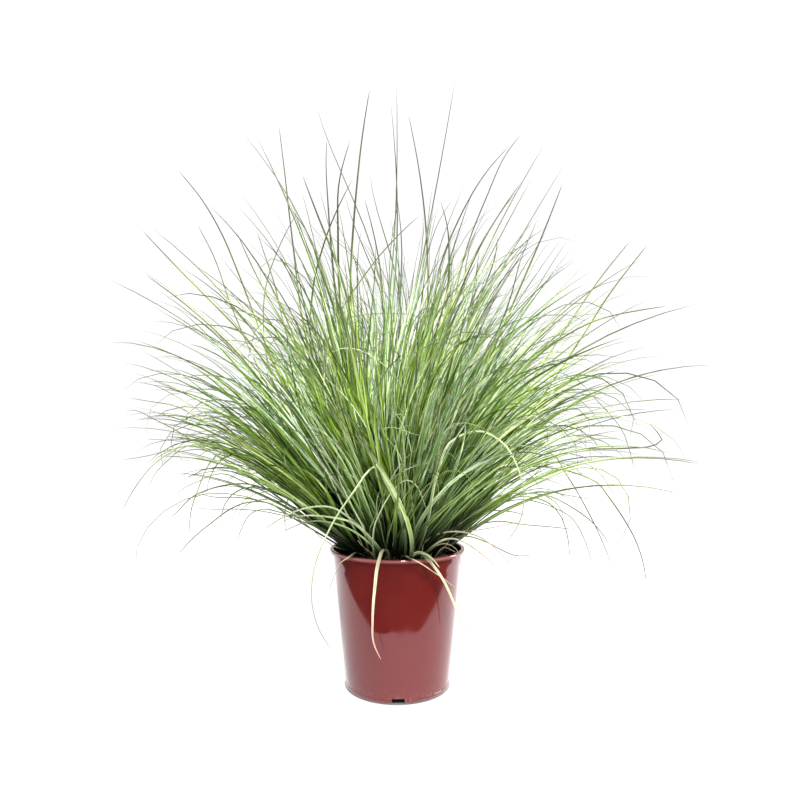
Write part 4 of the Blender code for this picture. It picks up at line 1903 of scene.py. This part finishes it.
@dataclass(frozen=True)
class Soil:
    """Potting soil with bark crumbs and perlite."""

    pot: Pot
    level: float = 156 * MM
    fall_to_wall: float = 3 * MM
    flat_radius: float = 52 * MM
    bottom: float = 5.8 * MM
    gap: float = 0.3 * MM
    ring_step: float = 1.5 * MM
    steps: int = 200
    lumpiness: float = 1.6 * MM
    lump_scale: float = 140
    lump_layers: tuple[Pair, ...] = ((1, 1), (2.7, 0.5), (6.1, 0.3))
    seed: int = 11
    grains: tuple[Grains, ...] = (
        Grains("bark_crumbs", "bark_crumb", 1500, (0.9 * MM, 2.6 * MM), 2.2),
        Grains("perlite_grains", "perlite", 70, (0.8 * MM, 1.9 * MM), 1.2),
    )

    def edge_height(self) -> float:
        """The surface's height where it meets the wall."""
        return self.level - self.fall_to_wall

    def edge(self, height: float) -> float:
        """The soil's radius at a height, just clear of the wall."""
        return self.pot.wall_radius(height) - self.pot.wall - self.gap

    def surface_height(self, radius: float) -> float:
        """How high the even surface is: level in the middle, and lower towards the wall.

        Args:
            radius: the distance from the axis.

        Returns:
            The height there.
        """
        edge = self.edge(self.edge_height())
        fall = max(radius - self.flat_radius, 0) / (edge - self.flat_radius)
        return self.level - self.fall_to_wall * fall

    def build(self, materials: dict[str, Material]) -> None:
        """Make the body of soil and what lies on it.

        Args:
            materials: the finishes potting_soil, bark_crumb and perlite.
        """
        edge_height = self.edge_height()
        edge = self.edge(edge_height)
        rings = int(edge / self.ring_step)
        radii = [edge * i / rings for i in range(rings + 1)]
        profile = [(radius, self.surface_height(radius)) for radius in radii]
        profile += [(self.edge(self.bottom), self.bottom), (0, self.bottom)]
        body = turned("soil_body", profile, self.steps, materials["potting_soil"])
        for vertex in body.data.vertices:
            radius = math.hypot(vertex.co.x, vertex.co.y)
            if vertex.co.z > edge_height - MM and radius < edge - MM:
                place = vertex.co * self.lump_scale
                lump = sum(share * noise.noise(place * finer) for finer, share in self.lump_layers)
                vertex.co.z += self.lumpiness * lump
        body.data.shade_smooth()
        stand_for(body, Slot.SOIL, "potting_soil")
        LOG.info("the soil, %d faces", len(body.data.polygons))

        draw = np.random.default_rng(self.seed)
        for grains in self.grains:
            grains.build(draw, self, materials[grains.material])


# ---------------------------------------------------------------- studio


# Where the dark reflection on the photograph's pot ends, from its upper left round to its upper right
SHIELD_OUTLINE = (
    (341, 565), (345, 577), (350, 590), (356, 603), (363, 615), (370, 626), (373, 631),
    (378, 633.5), (392, 633), (406, 632.5), (419, 632), (423, 627), (430, 615), (438, 600),
    (442, 590), (447, 577), (452, 565),
)


@dataclass(frozen=True)
class Studio:
    """The camera, the floor and the lights."""

    view: PhotoView
    pot: Pot
    sensor: float = 36.0
    clip: Pair = (0.01, 50)
    floor_size: float = 12.0
    floor_drop: float = 0.2 * MM
    roughness: float = 0.9
    floor_white: float = 0.86
    floor_seen: float = 0.12
    floor_mirrored: float = 0.43
    floor_light: float = 0.95
    floor_glow: float = 0.85
    # Where the floor's glow fades in round the pot: a painted contact shadow
    contact: Pair = (64 * MM, 68 * MM)
    flag_black: float = 0.02
    flag_height: float = 1 * MM
    shield_reach: float = 0.75
    shield_steps: int = 24
    ambient_rise: Pair = (0.0, 0.9)
    ambient: Pair = (0.25, 1.05)
    mirrored: float = 0.93
    backdrop: float = 1.05
    key_strength: float = 7.5
    key_softness: float = math.radians(12)
    key_place: Point = (0.3, -1.3, 1.65)
    strip_place: Point = (1.3, 0.35, 0.5)
    strip_size: Pair = (0.35, 1.2)
    strip_power: float = 19.0
    aim: Point = (0.0, 0.0, 0.2)

    def build(self) -> None:
        """Set up everything that isn't the object."""
        self.add_camera()
        self.add_floor()
        self.add_flag()
        self.add_surrounding()
        self.add_lights()
        LOG.info("the studio")

    def add_camera(self) -> None:
        """A camera where the photograph's was."""
        data = bpy.data.cameras.new("camera")
        data.sensor_width = self.sensor
        data.lens = self.sensor * self.view.focal_px / self.view.frame_px
        data.clip_start, data.clip_end = self.clip
        camera = bpy.data.objects.new("camera", data)
        camera.location = self.view.place
        camera.rotation_euler = (math.pi / 2 + self.view.pitch, 0, 0)
        bpy.context.scene.collection.objects.link(camera)
        bpy.context.scene.camera = camera

    def add_floor(self) -> None:
        """A plain white floor. The camera sees it lit evenly, but for the pot's contact shadow."""
        half, white = self.floor_size / 2, grey(self.floor_white)
        material, graph, shader = new_material("floor_white", white, self.roughness)
        length = graph.add("ShaderNodeVectorMath", {0: graph.place()}, operation="LENGTH")
        path = graph.add("ShaderNodeLightPath").outputs
        seen, mirrored = path["Is Camera Ray"], path["Is Glossy Ray"]
        colour = graph.mix(seen, white, grey(self.floor_seen))
        colour = graph.mix(mirrored, colour, grey(self.floor_mirrored))
        # The glow fades to nothing near the pot's foot: a painted contact shadow
        open_floor = graph.times(seen, graph.ramp(length.outputs["Value"], *self.contact))
        glow = graph.mix(open_floor, grey(0.0), grey(self.floor_light))
        glow = graph.mix(mirrored, glow, grey(self.floor_glow))
        graph.fill(shader, {"Base Color": colour, "Emission Color": glow, "Emission Strength": 1.0})
        corners = [(x * half, y * half, 0) for x, y in ((-1, -1), (1, -1), (1, 1), (-1, 1))]
        floor = add_object("floor", corners, [range(len(corners))], material)
        floor.location.z = -self.floor_drop

    def mirrored_on_floor(self, pixel: Pixel) -> Pair:
        """The point of the floor that the pot's wall mirrors at a pixel.

        Args:
            pixel: a pixel on the pot's wall.

        Returns:
            X and Y on the floor.
        """
        start = np.array(self.view.place)
        ray = unit(self.view.point(pixel, 0.0) - start)
        slope = (self.pot.wall_top_radius - self.pot.base_radius) / self.pot.height
        radius, growth = self.pot.base_radius + slope * start[2], slope * ray[2]
        a = ray[0] ** 2 + ray[1] ** 2 - growth**2
        b = start[0] * ray[0] + start[1] * ray[1] - radius * growth
        c = start[0] ** 2 + start[1] ** 2 - radius**2
        hit = start + ray * (-b - math.sqrt(b * b - a * c)) / a
        normal = unit(np.array((hit[0], hit[1], -slope * math.hypot(hit[0], hit[1]))))
        away = ray - 2 * normal * (ray @ normal)
        floor = hit - away * hit[2] / away[2]
        return float(floor[0]), float(floor[1])

    def add_flag(self) -> None:
        """A dark card in front of the floor's lit part. Only reflections show it: the pot's dark shield."""
        edge = [self.mirrored_on_floor(pixel) for pixel in SHIELD_OUTLINE]
        first, last = (math.atan2(y, x) for x, y in (edge[0], edge[-1]))
        angles = np.linspace(last, first - math.tau if first > last else first, self.shield_steps)
        edge += [(self.shield_reach * math.cos(a), self.shield_reach * math.sin(a)) for a in angles]
        material, _, _ = new_material("flag_black", grey(self.flag_black), self.roughness)
        points = [(x, y, self.flag_height) for x, y in edge]
        flag = add_object("flag", points, [range(len(points))], material)
        flag.visible_camera = flag.visible_diffuse = flag.visible_shadow = False
        flag.visible_transmission = flag.visible_volume_scatter = False

    def add_surrounding(self) -> None:
        """A white surrounding, brighter overhead, with its own brightness in view and in reflections."""
        scene = bpy.context.scene
        scene.view_settings.view_transform = "Standard"
        scene.world = bpy.data.worlds.new("studio")
        scene.world.use_nodes = True
        graph = Graph(scene.world.node_tree)
        path = graph.add("ShaderNodeLightPath").outputs
        direction = graph.add("ShaderNodeTexCoord").outputs["Generated"]
        upward = graph.add("ShaderNodeSeparateXYZ", {0: direction}).outputs["Z"]
        strength = graph.ramp(upward, *self.ambient_rise, *self.ambient)
        for seen, value in (("Is Glossy Ray", self.mirrored), ("Is Camera Ray", self.backdrop)):
            inputs = {"Value": path[seen], "To Min": strength, "To Max": value}
            strength = graph.add("ShaderNodeMapRange", inputs).outputs["Result"]
        background = scene.world.node_tree.nodes["Background"]
        graph.fill(background, {"Color": opaque(grey(1.0)), "Strength": strength})

    def add_lights(self) -> None:
        """A soft key light from the front right and above, and a strip light behind on the right."""
        key = bpy.data.lights.new("key", "SUN")
        key.energy, key.angle = self.key_strength, self.key_softness
        strip = bpy.data.lights.new("strip", "AREA")
        strip.shape, strip.energy = "RECTANGLE", self.strip_power
        strip.size, strip.size_y = self.strip_size
        for data, place in ((key, self.key_place), (strip, self.strip_place)):
            light = bpy.data.objects.new(data.name, data)
            light.location = place
            aim = Vector(self.aim) - Vector(place)
            light.rotation_euler = aim.to_track_quat("-Z", "Y").to_euler()
            bpy.context.scene.collection.objects.link(light)


def main() -> None:
    """Build and dress the object, then the studio round it."""
    logging.basicConfig(level=logging.INFO, format="%(message)s")
    tissue, mottle = LeafTissue().build(), Mottle().build()
    leaves = {finish.slot: finish.build(tissue) for finish in LEAF_FINISHES}
    hanging = HANGING_LEAF_FINISH.build(tissue)

    pot = Pot()
    pot.build(PotPlastic().build(mottle))
    Soil(pot).build({finish.name: finish.build(mottle) for finish in MATTER_FINISHES})
    fountain = Fountain()
    Tillers(fountain).build(leaves)
    StrayLeaves(fountain).build(leaves)
    HangingLeaves().build(hanging)
    view = PhotoView()
    tall = {Slot.MID_GREEN: TALL_LEAF_FINISH.build(tissue)}
    TracedLeaves("tall_leaves", TALL_LEAVES, view, widening=1.25).build(tall)
    side = {Slot.MID_GREEN: SIDE_LEAF_FINISH.build(tissue)}
    TracedLeaves("side_leaves", SIDE_LEAVES, view, widening=1.1).build(side)
    front = {**leaves, Slot.STRAW: FRONT_LEAF_FINISH.build(tissue)}
    TracedLeaves("front_leaves", FRONT_LEAVES, view).build(front)
    TracedLeaves("pale_leaves", PALE_LEAVES, view).build({Slot.STRAW: hanging})
    DriedBits().build(leaves[Slot.STRAW])
    Studio(view, pot).build()


if __name__ == "__main__":
    main()
